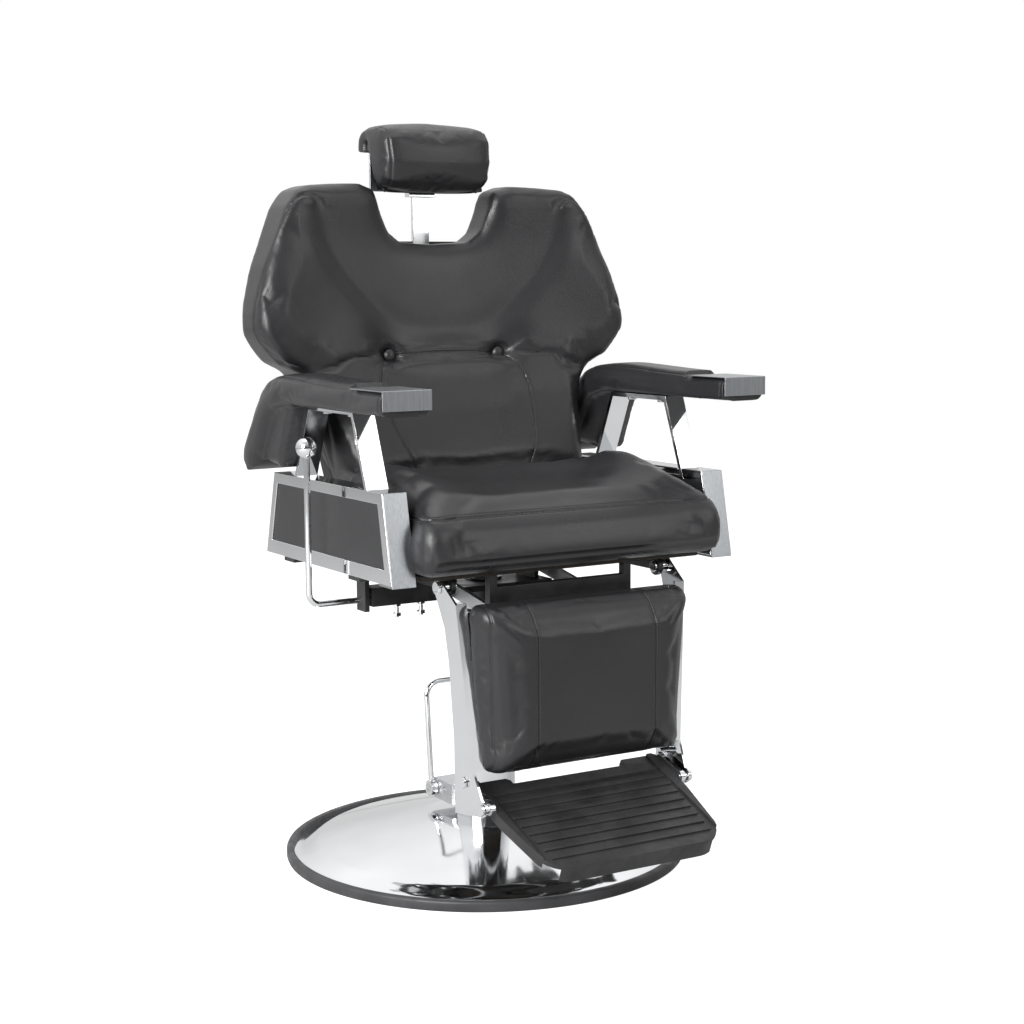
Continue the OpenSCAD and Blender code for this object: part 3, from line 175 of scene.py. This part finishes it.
def spread(mat, value, low, high, socket, start=0.35, end=0.65):
    """Spreads a pattern between two numbers or two colours and links it to a socket."""
    if isinstance(low, tuple):
        ramp = mat.node_tree.nodes.new("ShaderNodeValToRGB")
        ramp.color_ramp.elements[0].position, ramp.color_ramp.elements[1].position = start, end
        ramp.color_ramp.elements[0].color, ramp.color_ramp.elements[1].color = (*low, 1), (*high, 1)
        mat.node_tree.links.new(value, ramp.inputs[0])
        mat.node_tree.links.new(ramp.outputs["Color"], socket)
    else:
        span = mat.node_tree.nodes.new("ShaderNodeMapRange")
        for key, number in (("From Min", start), ("From Max", end), ("To Min", low), ("To Max", high)):
            span.inputs[key].default_value = number
        mat.node_tree.links.new(value, span.inputs["Value"])
        mat.node_tree.links.new(span.outputs["Result"], socket)


def bumped(mat, shader, *layers):
    """Lays patterns over each other as bumps, each a value, a height in metres and a strength."""
    below = None
    for value, height, strength in layers:
        bump = mat.node_tree.nodes.new("ShaderNodeBump")
        bump.inputs["Distance"].default_value = height
        bump.inputs["Strength"].default_value = strength
        mat.node_tree.links.new(value, bump.inputs["Height"])
        if below:
            mat.node_tree.links.new(below, bump.inputs["Normal"])
        below = bump.outputs["Normal"]
    mat.node_tree.links.new(below, shader.inputs["Normal"])


chrome, shader, stretch = patterned("chrome_plate", (0.80, 0.81, 0.82), 1, 0.06)
spread(chrome, noise(chrome, stretch, 30), 0.035, 0.10, shader.inputs["Roughness"])
spread(chrome, noise(chrome, stretch, 9, 2), (0.77, 0.78, 0.79), (0.84, 0.85, 0.86),
       shader.inputs["Base Color"])
bumped(chrome, shader, (noise(chrome, stretch, 14, 1), 0.002, 0.05))

rubber, shader, stretch = patterned("rim_rubber", (0.030, 0.030, 0.033), 0, 0.48)
spread(rubber, noise(rubber, stretch, 45, 6), 0.38, 0.62, shader.inputs["Roughness"])
spread(rubber, noise(rubber, stretch, 12, 4), (0.034, 0.034, 0.036), (0.068, 0.068, 0.072),
       shader.inputs["Base Color"])
bumped(rubber, shader, (noise(rubber, stretch, 900, 2), 0.0003, 0.25))

zinc, shader, stretch = patterned("zinc_steel", (0.55, 0.56, 0.57), 1, 0.38)
spread(zinc, noise(zinc, stretch, 260, 2, "ShaderNodeTexVoronoi"), (0.46, 0.47, 0.48), (0.62, 0.63, 0.64),
       shader.inputs["Base Color"])
spread(zinc, noise(zinc, stretch, 60), 0.30, 0.48, shader.inputs["Roughness"])
bumped(zinc, shader, (noise(zinc, stretch, 700), 0.0002, 0.2))


def turned(profile, steps, hollow=True):
    """A round part turned from its half profile of (radius, height) points, which closes in a
    ring where the part is hollow, and starts and ends on the axis where it isn't."""
    bm = bmesh.new()
    ring = [bm.verts.new((r, 0, z)) for r, z in profile]
    edges = [bm.edges.new((ring[i - 1], ring[i])) for i in range(0 if hollow else 1, len(ring))]
    bmesh.ops.spin(bm, geom=ring + edges, cent=(0, 0, 0), axis=(0, 0, 1), angle=math.tau, steps=steps,
                   use_merge=True)
    bmesh.ops.remove_doubles(bm, verts=bm.verts, dist=1e-6)
    bmesh.ops.recalc_face_normals(bm, faces=bm.faces)
    return bm


def eased(bm, width, segments=2):
    """Rounds every sharp edge, as polishing or moulding leaves it."""
    bm.normal_update()
    sharp = [e for e in bm.edges if e.is_manifold and e.calc_face_angle() > math.radians(30)]
    bmesh.ops.bevel(bm, geom=sharp, offset=width, segments=segments, profile=0.5, affect="EDGES",
                    material=-1, clamp_overlap=True)
    return bm


def made(bm, name, finish):
    """Makes the modelled shape an object of one finish."""
    mesh = bpy.data.meshes.new(name)
    bm.to_mesh(mesh)
    bm.free()
    mesh.shade_smooth()
    mesh.materials.append(finish)
    piece = bpy.data.objects.new(name, mesh)
    bpy.context.scene.collection.objects.link(piece)
    return piece


def show(bm, name, body, finish, *nodes):
    """Shows a hard piece, which rides on its body and stands for its CAD nodes."""
    piece = made(bm, name, finish)
    piece.data.set_sharp_from_angle(angle=math.radians(40))
    flats = piece.modifiers.new("flat faces stay flat", "WEIGHTED_NORMAL")
    flats.keep_sharp = True
    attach(piece, body)
    if nodes:
        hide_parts(*nodes)


def as_built(node):
    """A merged copy of a CAD node's mesh, with its flat faces whole again."""
    bm = bmesh.new()
    bm.from_mesh(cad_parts[node].data)
    bmesh.ops.remove_doubles(bm, verts=bm.verts, dist=1e-6)
    bmesh.ops.dissolve_limit(bm, angle_limit=math.radians(0.6), verts=bm.verts, edges=bm.edges)
    return bm


def finished(node, name, body, finish, width, segments=2):
    """Shows a CAD node's own shape in its real finish, with its sharp edges eased."""
    show(eased(as_built(node), width, segments), name, body, finish, node)


plate_thickness = 0.003
dome = [(0.229 - 0.151 * t, 0.0212 + 0.0328 * (1 - (1 - t) ** 1.3)) for t in (i / 40 for i in range(41))]
upper = [(0.264, 0.009), (0.257, 0.009), (0.2525, 0.0095), (0.248, 0.0112), (0.243, 0.0137),
         (0.238, 0.0166), (0.233, 0.0193)]
upper += dome + [(0.0412, 0.0542)]
lower = [(r, z - plate_thickness) for r, z in reversed(upper)]
show(turned(upper + lower, 256), "dished_plate", "base", chrome, "base_dish")
rim = [(0.248, 0.0), (0.266, 0.0), (0.2688, 0.0012), (0.27, 0.004), (0.27, 0.0115), (0.2689, 0.0137),
       (0.2665, 0.015), (0.2626, 0.015), (0.2606, 0.0142), (0.26, 0.0126), (0.26, 0.0091),
       (0.264, 0.0091), (0.264, 0.006), (0.248, 0.006)]
show(turned(rim, 256), "rubber_rim", "base", rubber, "base_rim")
finished("pump_flange", "column_ring", "base", zinc, 0.0006)
finished("flange_bolts", "ring_bolts", "base", zinc, 0.0004)

# Pump: a chromed steel tube round the oil jack, with a turned collar at its top. The polished
# piston comes out of it, and a steel boss at the back carries the shaft of the foot pedal.
tube = [(0.0, 0.028), (0.0251, 0.028), (0.0251, 0.318), (0.0405, 0.318), (0.041, 0.3175),
        (0.041, 0.0205), (0.0405, 0.020), (0.0, 0.020)]
show(turned(tube, 128, hollow=False), "pump_tube", "base", chrome, "pump_column")
collar = [(0.0251, 0.318), (0.0433, 0.318), (0.044, 0.3187), (0.044, 0.3225), (0.0434, 0.3231),
          (0.0434, 0.3237), (0.044, 0.3243), (0.044, 0.334), (0.0436, 0.3358), (0.0424, 0.3373),
          (0.040, 0.338), (0.0256, 0.338), (0.0251, 0.3375)]
show(turned(collar, 128), "tube_collar", "base", chrome, "column_collar")
rod = [(0.0, 0.060), (0.0245, 0.060), (0.025, 0.0605), (0.025, 0.3446), (0.0246, 0.345),
       (0.020, 0.345), (0.020, 0.3742), (0.0196, 0.3746), (0.0, 0.3746)]
show(turned(rod, 128, hollow=False), "piston_rod", "lift", chrome, "piston")
finished("piston_cap", "piston_screw", "lift", zinc, 0.0006)
finished("pump_boss", "pedal_boss", "base", zinc, 0.0008)
finished("pedal_shaft", "pedal_axle", "pedal", chrome, 0.0006)

def rod_run(bm, ring, steps):
    """Carries a ring of edges along straight moves and bends, which makes a drawn and bent rod."""
    def grown(out):
        fresh = {g for g in out if isinstance(g, bmesh.types.BMVert)}
        return [e for e in bm.edges if e.verts[0] in fresh and e.verts[1] in fresh]
    for step in steps:
        if len(step) == 1:
            out = bmesh.ops.extrude_edge_only(bm, edges=ring)["geom"]
            bmesh.ops.translate(bm, verts=[g for g in out if isinstance(g, bmesh.types.BMVert)], vec=step[0])
            ring = grown(out)
        else:
            centre, axis, angle = step
            out = bmesh.ops.spin(bm, geom=ring, cent=centre, axis=axis, angle=angle, steps=12)["geom_last"]
            ring = grown(out)
    return ring


def bent_rod(start, heading, radius, steps):
    """A round rod from its start along its heading, then on along the steps, with closed ends."""
    bm = bmesh.new()
    place = Matrix.Translation(start) @ Vector(heading).to_track_quat("Z", "Y").to_matrix().to_4x4()
    bmesh.ops.create_circle(bm, cap_ends=True, segments=28, radius=radius, matrix=place)
    ring = rod_run(bm, list(bm.edges), steps)
    bmesh.ops.edgenet_fill(bm, edges=ring)
    bmesh.ops.remove_doubles(bm, verts=bm.verts, dist=1e-6)
    bmesh.ops.recalc_face_normals(bm, faces=bm.faces)
    return bm


eye_x, eye_radius, eye_width = 0.049, 0.011, 0.009
quarter = math.radians(90)
pedal = bent_rod((-eye_x, 0, 0.006), (0, 0, 1), 0.0038, [
    ((0, 0, 0.120),), ((-0.029, 0, 0.126), (0, 1, 0), quarter),
    ((0.058, 0, 0),), ((0.029, 0, 0.126), (0, 1, 0), quarter), ((0, 0, -0.120),)])
for side in (-1, 1):
    across = Matrix.Translation((side * eye_x, 0, 0)) @ Matrix.Rotation(quarter, 4, "Y")
    bmesh.ops.create_cone(pedal, cap_ends=True, segments=40, radius1=eye_radius, radius2=eye_radius,
                          depth=eye_width, matrix=across)
on_shaft = Matrix.Translation((0, 0.062, 0.078)) @ Matrix.Rotation(math.radians(-5), 4, "X")
bmesh.ops.transform(pedal, verts=pedal.verts, matrix=on_shaft)
show(eased(pedal, 0.0008), "foot_pedal", "pedal", chrome, "pump_pedal")

# Seat under-frame: a welded and powder-coated frame. The hub turns on the piston, and its plate
# and risers carry a bridge with two rails, whose ears hold the hinges of the back and leg rest.
coated, shader, stretch = patterned("frame_black", (0.020, 0.020, 0.021), 0, 0.36)
spread(coated, noise(coated, stretch, 22, 4), (0.014, 0.014, 0.015), (0.030, 0.030, 0.031),
       shader.inputs["Base Color"])
spread(coated, noise(coated, stretch, 50), 0.28, 0.46, shader.inputs["Roughness"])
bumped(coated, shader, (noise(coated, stretch, 600, 1), 0.0004, 0.25))
for node, name in (("seat_mount", "swivel_hub"), ("seat_rails", "hinge_rails"),
                   ("seat_bridge", "bridge_plates"), ("seat_outriggers", "side_arms"),
                   ("front_crossbar", "front_bar")):
    finished(node, name, "seat", coated, 0.0008)

# Seat: foam on a plywood board, under a sewn cover of black leatherette. The top panel is joined
# to its wall by a double-stitched seam along the front and the sides.
ply, shader, stretch = patterned("plywood", (0.05, 0.04, 0.032), 0, 0.7)
stretch.inputs["Scale"].default_value = (1, 9, 30)
spread(ply, noise(ply, stretch, 14, 6), (0.020, 0.017, 0.014), (0.042, 0.034, 0.027),
       shader.inputs["Base Color"])
bumped(ply, shader, (noise(ply, stretch, 40, 6), 0.0005, 0.3))
finished("seat_board", "seat_plywood", "seat", ply, 0.0012)

leather, shader, stretch = patterned("black_leatherette", (0.020, 0.020, 0.022), 0, 0.32)
spread(leather, noise(leather, stretch, 7, 5), (0.015, 0.015, 0.0165), (0.025, 0.025, 0.027),
       shader.inputs["Base Color"], 0.2, 0.8)
spread(leather, noise(leather, stretch, 11, 2), 0.24, 0.40, shader.inputs["Roughness"], 0.2, 0.8)
bumped(leather, shader, (noise(leather, stretch, 850, 1, "ShaderNodeTexVoronoi"), 0.0006, 0.22))


def settled(form, held, cap):
    """Fills a closed form like a cushion: its skin swells, but not where it is held or past the cap."""
    scene = bpy.context.scene
    last_step = 20
    starts = [v.co.copy() for v in form.data.vertices]
    fixed = form.vertex_groups.new(name="held")
    for v in form.data.vertices:
        weight = held(v.co, v.normal)
        if weight > 0:
            fixed.add([v.index], weight, "REPLACE")
    cloth = form.modifiers.new("cloth", "CLOTH")
    cloth.settings.quality = 4
    cloth.settings.mass = 0.4
    cloth.settings.tension_stiffness = cloth.settings.compression_stiffness = 18
    cloth.settings.bending_stiffness = 0.4
    cloth.settings.use_pressure = True
    cloth.settings.uniform_pressure_force = 4
    cloth.settings.effector_weights.gravity = 0
    cloth.settings.vertex_group_mass = "held"
    cloth.point_cache.frame_start, cloth.point_cache.frame_end = 1, last_step
    for step in range(1, last_step + 1):
        scene.frame_set(step)
    swollen = form.evaluated_get(bpy.context.evaluated_depsgraph_get()).to_mesh()
    ends = [v.co.copy() for v in swollen.vertices]
    scene.frame_set(1)
    form.modifiers.remove(cloth)
    for v, begin, end in zip(form.data.vertices, starts, ends):
        move = end - begin
        v.co = begin + move * min(1, cap / max(move.length, 1e-9))


def as_modified(form):
    """A new mesh of the form with what its modifiers do."""
    return bpy.data.meshes.new_from_object(form.evaluated_get(bpy.context.evaluated_depsgraph_get()))


def padded_form(node, voxel, held, cap=0.005, stand=0.002):
    """The CAD form of a padded piece, meshed evenly, filled by cloth simulation, subdivided once,
    and let out by what the even mesh and the subdivision take off its edges."""
    mesh = bpy.data.meshes.new(node + " form")
    bm = as_built(node)
    bm.to_mesh(mesh)
    bm.free()
    form = bpy.data.objects.new(node + " form", mesh)
    bpy.context.scene.collection.objects.link(form)
    even = form.modifiers.new("even mesh", "REMESH")
    even.mode, even.voxel_size = "VOXEL", voxel
    form.data = as_modified(form)
    form.modifiers.clear()
    # The skin starts a little inside the form, because it swells.
    for v in form.data.vertices:
        v.co -= v.normal * 0.4 * cap * (1 - held(v.co, v.normal))
    settled(form, held, cap)
    finer = form.modifiers.new("one subdivision", "SUBSURF")
    finer.levels = finer.render_levels = 1
    bm = bmesh.new()
    bm.from_mesh(as_modified(form))
    bpy.data.objects.remove(form)
    bm.normal_update()
    for v in bm.verts:
        if held(v.co, v.normal) < 0.5:
            v.co += v.normal * stand
    return bm


def soft_step(value, low, high):
    """Rises smoothly from 0 at low to 1 at high."""
    t = min(1, max(0, (value - low) / (high - low)))
    return t * t * (3 - 2 * t)


def cut_line(bm, point, normal, where):
    """The points in which a plane cuts the skin, in order, as far as they lie where they should."""
    slice_bm = bm.copy()
    cut = bmesh.ops.bisect_plane(slice_bm, geom=slice_bm.verts[:] + slice_bm.edges[:] + slice_bm.faces[:],
                                 plane_co=point, plane_no=normal, dist=1e-7)["geom_cut"]
    cut_edges = [e for e in cut if isinstance(e, bmesh.types.BMEdge) and all(where(v.co) for v in e.verts)]
    open_edges = set(cut_edges)
    runs = []
    for edge in cut_edges:
        if edge not in open_edges:
            continue
        open_edges.discard(edge)
        run = [edge.verts[0], edge.verts[1]]
        for end in (1, 0):
            while True:
                tip = run[-1] if end else run[0]
                onward = next((e for e in tip.link_edges if e in open_edges), None)
                if not onward:
                    break
                open_edges.discard(onward)
                run.insert(len(run) if end else 0, onward.other_vert(tip))
        runs.append([v.co.copy() for v in run])
    slice_bm.free()
    return max(runs, key=len)


def evenly(points, pitch):
    """The same line with points at an even pitch."""
    laid, left = [points[0]], pitch
    for begin, end in zip(points, points[1:]):
        run = (end - begin).length
        while run >= left:
            begin = begin.lerp(end, left / run)
            laid.append(begin)
            run, left = (end - begin).length, pitch
        left -= run
    return laid


def bell(distance, width):
    """Falls smoothly from 1 at no distance to almost nothing at two widths."""
    return math.exp(-(distance / width) ** 2)


def sewn(bm, line, depth=0.0020, rows=0.0036, threads=None):
    """Sews a seam along a line on the skin: a sunk joint between two rows at the given distance,
    each with its stitches where threads are given."""
    joint_width, swell_width, row_width = 0.0017, 0.0012, 0.0009
    pitch, stitch = 0.0052, (0.0017, 0.00038, 0.00038, 1)
    skin = BVHTree.FromBMesh(bm)
    line = [skin.find_nearest(p)[0] for p in evenly(line, 0.0015)]
    near = KDTree(len(line))
    for i, p in enumerate(line):
        near.insert(p, i)
    near.balance()
    reach = rows + 0.004
    close = {e for f in bm.faces if near.find(f.calc_center_median())[2] < reach for e in f.edges}
    bmesh.ops.subdivide_edges(bm, edges=[e for e in bm.edges if e in close], cuts=1, use_grid_fill=True)
    bm.normal_update()
    moves = []
    for v in bm.verts:
        away = near.find(v.co)[2]
        if away < reach:
            sink = depth * bell(away, joint_width) + 0.25 * depth * bell(away - rows, row_width)
            swell = 0.25 * depth * bell(away - 0.5 * rows, swell_width)
            moves.append((v, v.normal * (swell - sink)))
    for v, move in moves:
        v.co += move
    if threads is None:
        return
    skin = BVHTree.FromBMesh(bm)
    row = evenly(line, pitch)
    for side in (-1, 1):
        for begin, end in zip(row, row[1:]):
            spot, out = skin.find_nearest((begin + end) / 2)[:2]
            along = (end - begin).normalized()
            spot, out = skin.find_nearest(spot + out.cross(along) * side * rows)[:2]
            lie = Matrix((along, out.cross(along), out)).transposed().to_4x4()
            place = Matrix.Translation(spot + out * 0.00005) @ lie @ Matrix.Diagonal(stitch)
            bmesh.ops.create_uvsphere(threads, u_segments=6, v_segments=4, radius=1, matrix=place)


def stretched(bm, verts):
    """Smooths part of a skin once, as a cover does that is stretched over soft foam."""
    bmesh.ops.smooth_vert(bm, verts=verts, factor=0.5, use_axis_x=True, use_axis_y=True, use_axis_z=True)


def upholstered(bm, name, body, *nodes, threads=None):
    """Shows a finished padded piece, with the threads of its seams as a piece of their own."""
    if threads is not None:
        show(threads, name + "_stitches", body, thread)
    piece = made(bm, name, leather)
    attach(piece, body)
    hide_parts(*nodes)


thread, shader, stretch = patterned("black_leatherette", (0.03, 0.03, 0.032), 0, 0.6)
bumped(thread, shader, (noise(thread, stretch, 3000, 1), 0.0001, 0.4))
threads = bmesh.new()
seat_skin = padded_form("seat_cushion", 0.005, lambda co, n: 1.0 if co.z < 0.426 else 0.0)
side_crest, rear_crest, corner_bulge, front_tuck = 0.025, 0.020, 0.007, 0.007
for v in seat_skin.verts:
    x, y, z = abs(v.co.x), v.co.y, v.co.z
    # The foam stands higher along its sides and its rear edge than where the sitter's weight is.
    top = soft_step(z, 0.445, 0.50)
    crest = soft_step(x, 0.085, 0.195) * (0.003 + side_crest * soft_step(y, -0.235, -0.07))
    v.co.z += top * max(crest, rear_crest * soft_step(y, -0.11, -0.015))
    # Its front corners bulge, and the cover's lower front edge is pulled in under the board.
    corner = soft_step(x, 0.165, 0.205) * soft_step(-y, 0.185, 0.235)
    v.co.x += math.copysign(corner_bulge * corner, v.co.x)
    v.co.y -= 0.006 * corner + 0.003 * soft_step(-y, 0.215, 0.24)
    low = 1 - soft_step(z, 0.425, 0.452)
    v.co.z += low * front_tuck * soft_step(-y, 0.220, 0.244)
    v.co.y = max(v.co.y, -0.2425 - 0.012 * (1 - low))
for _ in range(8):
    stretched(seat_skin, [v for v in seat_skin.verts if v.co.z > 0.488])
front_joint = cut_line(seat_skin, (0, 0, 0.484), (0, 0.03, 1), lambda p: p.y < -0.15)
sewn(seat_skin, front_joint, 0.0024, threads=threads)
upholstered(seat_skin, "seat_pad", "seat", "seat_cushion", threads=threads)

# Side boxes: chromed sheet steel folded round a window, a leatherette-covered panel set in it,
# and a brushed steel cover clipped over the front edge and under the bottom.
brushed, shader, stretch = patterned("brushed_steel", (0.38, 0.39, 0.40), 1, 0.30)
stretch.inputs["Scale"].default_value = (60, 60, 1.2)
spread(brushed, noise(brushed, stretch, 30, 3), 0.27, 0.36, shader.inputs["Roughness"], 0.3, 0.7)
spread(brushed, noise(brushed, stretch, 12, 4), (0.34, 0.355, 0.37), (0.41, 0.425, 0.44),
       shader.inputs["Base Color"])
bumped(brushed, shader, (noise(brushed, stretch, 60, 2), 0.0001, 0.05))
for hand in ("left", "right"):
    finished("side_frame_" + hand, "side_shell_" + hand, "seat", chrome, 0.0007)
    finished("side_panel_" + hand, "side_inset_" + hand, "seat", leather, 0.0010, 3)
    finished("front_cover_" + hand, "box_front_" + hand, "seat", brushed, 0.0008, 3)

# Arms: each arm pad is moulded foam under leatherette, screwed on to a bent strap of chromed
# steel that stands in the side box. A brushed steel cap is folded over the front end.
pad_front, cap_rear, cap_under = -0.2462, -0.155, 0.6444
for hand, out in (("left", 1), ("right", -1)):
    finished("arm_upright_" + hand, "arm_strap_" + hand, "seat", chrome, 0.0007)
    threads = bmesh.new()
    arm_skin = padded_form("arm_pad_" + hand, 0.004,
                           lambda co, n: 1.0 if n.z < -0.9 and co.y < 0 else 0.0, 0.003, 0.0012)
    for v in arm_skin.verts:
        v.co.y = max(v.co.y, pad_front)
        if v.co.y < cap_rear:
            v.co.z = min(v.co.z, cap_under)
    for across in (0.2705, 0.2195):
        top_edge = cut_line(arm_skin, (out * across, 0, 0.6), (1, 0, 0),
                            lambda p: p.y > -0.160 and p.z > 0.632 - 1.1 * max(0, p.y - 0.06))
        sewn(arm_skin, top_edge, 0.0010, 0.0030, threads=threads)
    front_end = cut_line(arm_skin, (0, -0.240, 0.60), (0, 1, 0), lambda p: 0.602 < p.z < 0.6436)
    sewn(arm_skin, front_end, 0.0012, 0.0)
    upholstered(arm_skin, "arm_rest_" + hand, "seat", "arm_pad_" + hand, threads=threads)
    finished("arm_cap_" + hand, "arm_end_" + hand, "seat", brushed, 0.0006)
finished("arm_screws", "strap_screws", "seat", chrome, 0.0008, 3)

# Recline lock: a coated steel housing under the seat, hung from the right rail with two bolts.
# The chromed lever goes in at its side, bends up beside the arm and ends in a polished ball.
finished("lock_housing", "lock_body", "seat", coated, 0.0012, 3)
finished("lock_bolts", "lock_screws", "seat", chrome, 0.0005)
lever = bent_rod((-0.100, -0.042, 0.369), (-1, 0, 0), 0.004, [
    ((-0.161, 0, 0),), ((-0.261, -0.042, 0.384), (0, 1, 0), math.radians(90)), ((0, 0, 0.175),)])
show(lever, "lever_rod", "lever", chrome, "recline_lever")
ball_radius = 0.0135
climb = [math.radians(-86 + i * 4) for i in range(44)]
half_round = [(ball_radius * math.cos(a), ball_radius * math.sin(a)) for a in climb]
ball = turned([(0.0, -ball_radius)] + half_round + [(0.0, ball_radius)], 64, hollow=False)
bmesh.ops.translate(ball, verts=ball.verts, vec=(-0.276, -0.042, 0.567))
show(ball, "lever_knob", "lever", chrome, "lever_ball")

# Hinges and links: turned pins through the rail ears, a torque tube across the back's hinge with
# two cranks, and two flat links that pull the leg rest up as the back goes down.
finished("leg_hinge_pins", "leg_hinges", "seat", chrome, 0.0007)
finished("back_pins", "back_hinges", "back", zinc, 0.0007)
finished("torque_tube", "back_axle", "back", coated, 0.0007)
finished("recline_links", "link_bars", "links", zinc, 0.0007)

# Back: a plywood board on two steel arms and a crossbar, with thick foam and a sewn cover that
# is drawn down by two covered buttons. Behind it a square tube holds the headrest's post.
finished("back_arms", "back_straps", "back", coated, 0.0008)
finished("back_crossbar", "back_bar", "back", coated, 0.0008)
finished("back_board", "back_plywood", "back", ply, 0.0012)
finished("headrest_socket", "post_tube", "back", coated, 0.0006)
threads = bmesh.new()
board = as_built("back_board")
face = max(board.faces, key=lambda f: f.calc_area())
facing = face.normal.copy() if face.normal.y < 0 else -face.normal
board_front = max(v.co.dot(facing) for v in board.verts)
board.free()
back_skin = padded_form("back_cushion", 0.005,
                        lambda co, n: 1.0 if co.dot(facing) < board_front + 0.004 else 0.0, 0.006, 0.0035)
for v in back_skin.verts:
    v.co.z += 0.005 * soft_step(v.co.z, 0.80, 0.88)
    wing = 0.006 * soft_step(abs(v.co.x), 0.12, 0.25) * soft_step(v.co.z, 0.62, 0.70)
    v.co.x += math.copysign(wing, v.co.x)


def on_face(skin, spots):
    """Lays a line of (x, z) spots on the front of the back cushion."""
    hits = (skin.ray_cast(Vector((x, -0.5, z)), Vector((0, 1, 0)))[0] for x, z in spots)
    return [hit for hit in hits if hit]


button_x, button_z, button_pull = 0.085, 0.671, 0.003
for side in (-1, 1):
    spot = on_face(BVHTree.FromBMesh(back_skin), [(side * button_x, button_z)])[0]
    for v in back_skin.verts:
        away = (v.co - spot).length
        if away < 0.09:
            v.co -= facing * (button_pull * bell(away, 0.013) + button_pull * bell(away, 0.045))
back_skin.normal_update()
# Between its wings the cover is stretched over the foam in one smooth hollow.
inner = [v for v in back_skin.verts
         if v.normal.dot(facing) > 0.45 and 0.69 < v.co.z < 0.872 and abs(v.co.x) < 0.215]
for _ in range(90):
    stretched(back_skin, inner)
back_skin.normal_update()
skin = BVHTree.FromBMesh(back_skin)
panel_side = [(0.086, 0.674), (0.097, 0.666), (0.106, 0.655), (0.111, 0.642), (0.114, 0.625),
              (0.113, 0.605), (0.109, 0.583), (0.102, 0.558), (0.092, 0.532), (0.084, 0.512)]
for side in (-1, 1):
    sewn(back_skin, on_face(skin, [(side * x, z) for x, z in panel_side]), 0.0019, 0.0034, threads=threads)
panel_top = [(x / 1000, 0.6755 - 0.0045 * (x / 85) ** 2) for x in range(-84, 85, 4)]
sewn(back_skin, on_face(skin, panel_top), 0.0019, 0.0034, threads=threads)
upholstered(back_skin, "back_pad", "back", "back_cushion", threads=threads)
show(as_built("tuft_buttons"), "covered_buttons", "back", leather, "tuft_buttons")

# Headrest: a foam block under leatherette, wrapped over the top of a brushed plate that is
# welded to a flat chromed post.
finished("headrest_post", "flat_post", "headrest", chrome, 0.0008, 3)
finished("headrest_plate", "pad_plate", "headrest", brushed, 0.0008)
head_skin = padded_form("headrest_pad", 0.003, lambda co, n: 1.0 if n.y > 0.5 else 0.0, 0.003)
hook_bottom, plate_front, hook_front = 0.945, 0.128, 0.150
for v in head_skin.verts:
    if v.co.z < hook_bottom and v.co.y > plate_front:
        v.co.y = min(v.co.y, hook_front - 0.30 * (hook_bottom - v.co.z))
for _ in range(5):
    stretched(head_skin, [v for v in head_skin.verts if v.co.y > hook_front])
for side in (-1, 1):
    end_seam = cut_line(head_skin, (side * 0.0735, 0.12, 0.93), (1, 0, -0.06 * side),
                        lambda p: p.y < hook_front)
    sewn(head_skin, end_seam, 0.0014, 0.0)
upholstered(head_skin, "head_pad", "headrest", "headrest_pad")

# Leg rest: two chromed side plates joined by tubes, with a calf pad of foam and leatherette on a
# plywood board between them.
for hand in ("left", "right"):
    finished("leg_plate_" + hand, "leg_side_" + hand, "leg_rest", chrome, 0.0006)
finished("leg_cross_tubes", "leg_tubes", "leg_rest", coated, 0.0006)
finished("calf_board", "calf_plywood", "leg_rest", ply, 0.0010)
threads = bmesh.new()
calf_skin = padded_form("calf_pad", 0.004, lambda co, n: 1.0 if n.y > 0.7 else 0.0, 0.004, 0.0035)
calf_top = 0.3835
for v in calf_skin.verts:
    v.co.z = min(v.co.z, calf_top)
for side in (-1, 1):
    panel_edge = cut_line(calf_skin, (side * 0.086, -0.25, 0.3), (1, 0, 0), lambda p: p.y < -0.236)
    sewn(calf_skin, panel_edge, 0.0021, 0.0034, threads=threads)
    rim_seam = cut_line(calf_skin, (side * 0.1395, -0.25, 0.3), (1, 0, -0.045 * side),
                        lambda p: p.y < -0.236)
    sewn(calf_skin, rim_seam, 0.0014, 0.0)
upholstered(calf_skin, "calf_cushion", "leg_rest", "calf_pad", threads=threads)
finished("leg_bolts", "leg_screws", "leg_rest", chrome, 0.0006)

# Footrest: a black moulded plate with ribs across it, a raised rim and a turned-down lip. It
# folds up on two pins in the side plates and rests on their stop bolts.
moulded, shader, stretch = patterned("footrest_black", (0.022, 0.022, 0.023), 0, 0.5)
spread(moulded, noise(moulded, stretch, 25, 5), (0.017, 0.017, 0.018), (0.032, 0.032, 0.033),
       shader.inputs["Base Color"])
spread(moulded, noise(moulded, stretch, 70, 4), 0.42, 0.6, shader.inputs["Roughness"])
bumped(moulded, shader, (noise(moulded, stretch, 1100, 2), 0.0003, 0.35))
finished("footrest", "foot_plate", "footrest", moulded, 0.0012, 3)
finished("footrest_lugs", "foot_lugs", "footrest", chrome, 0.0007)
finished("footrest_pins", "foot_pins", "leg_rest", chrome, 0.0006)
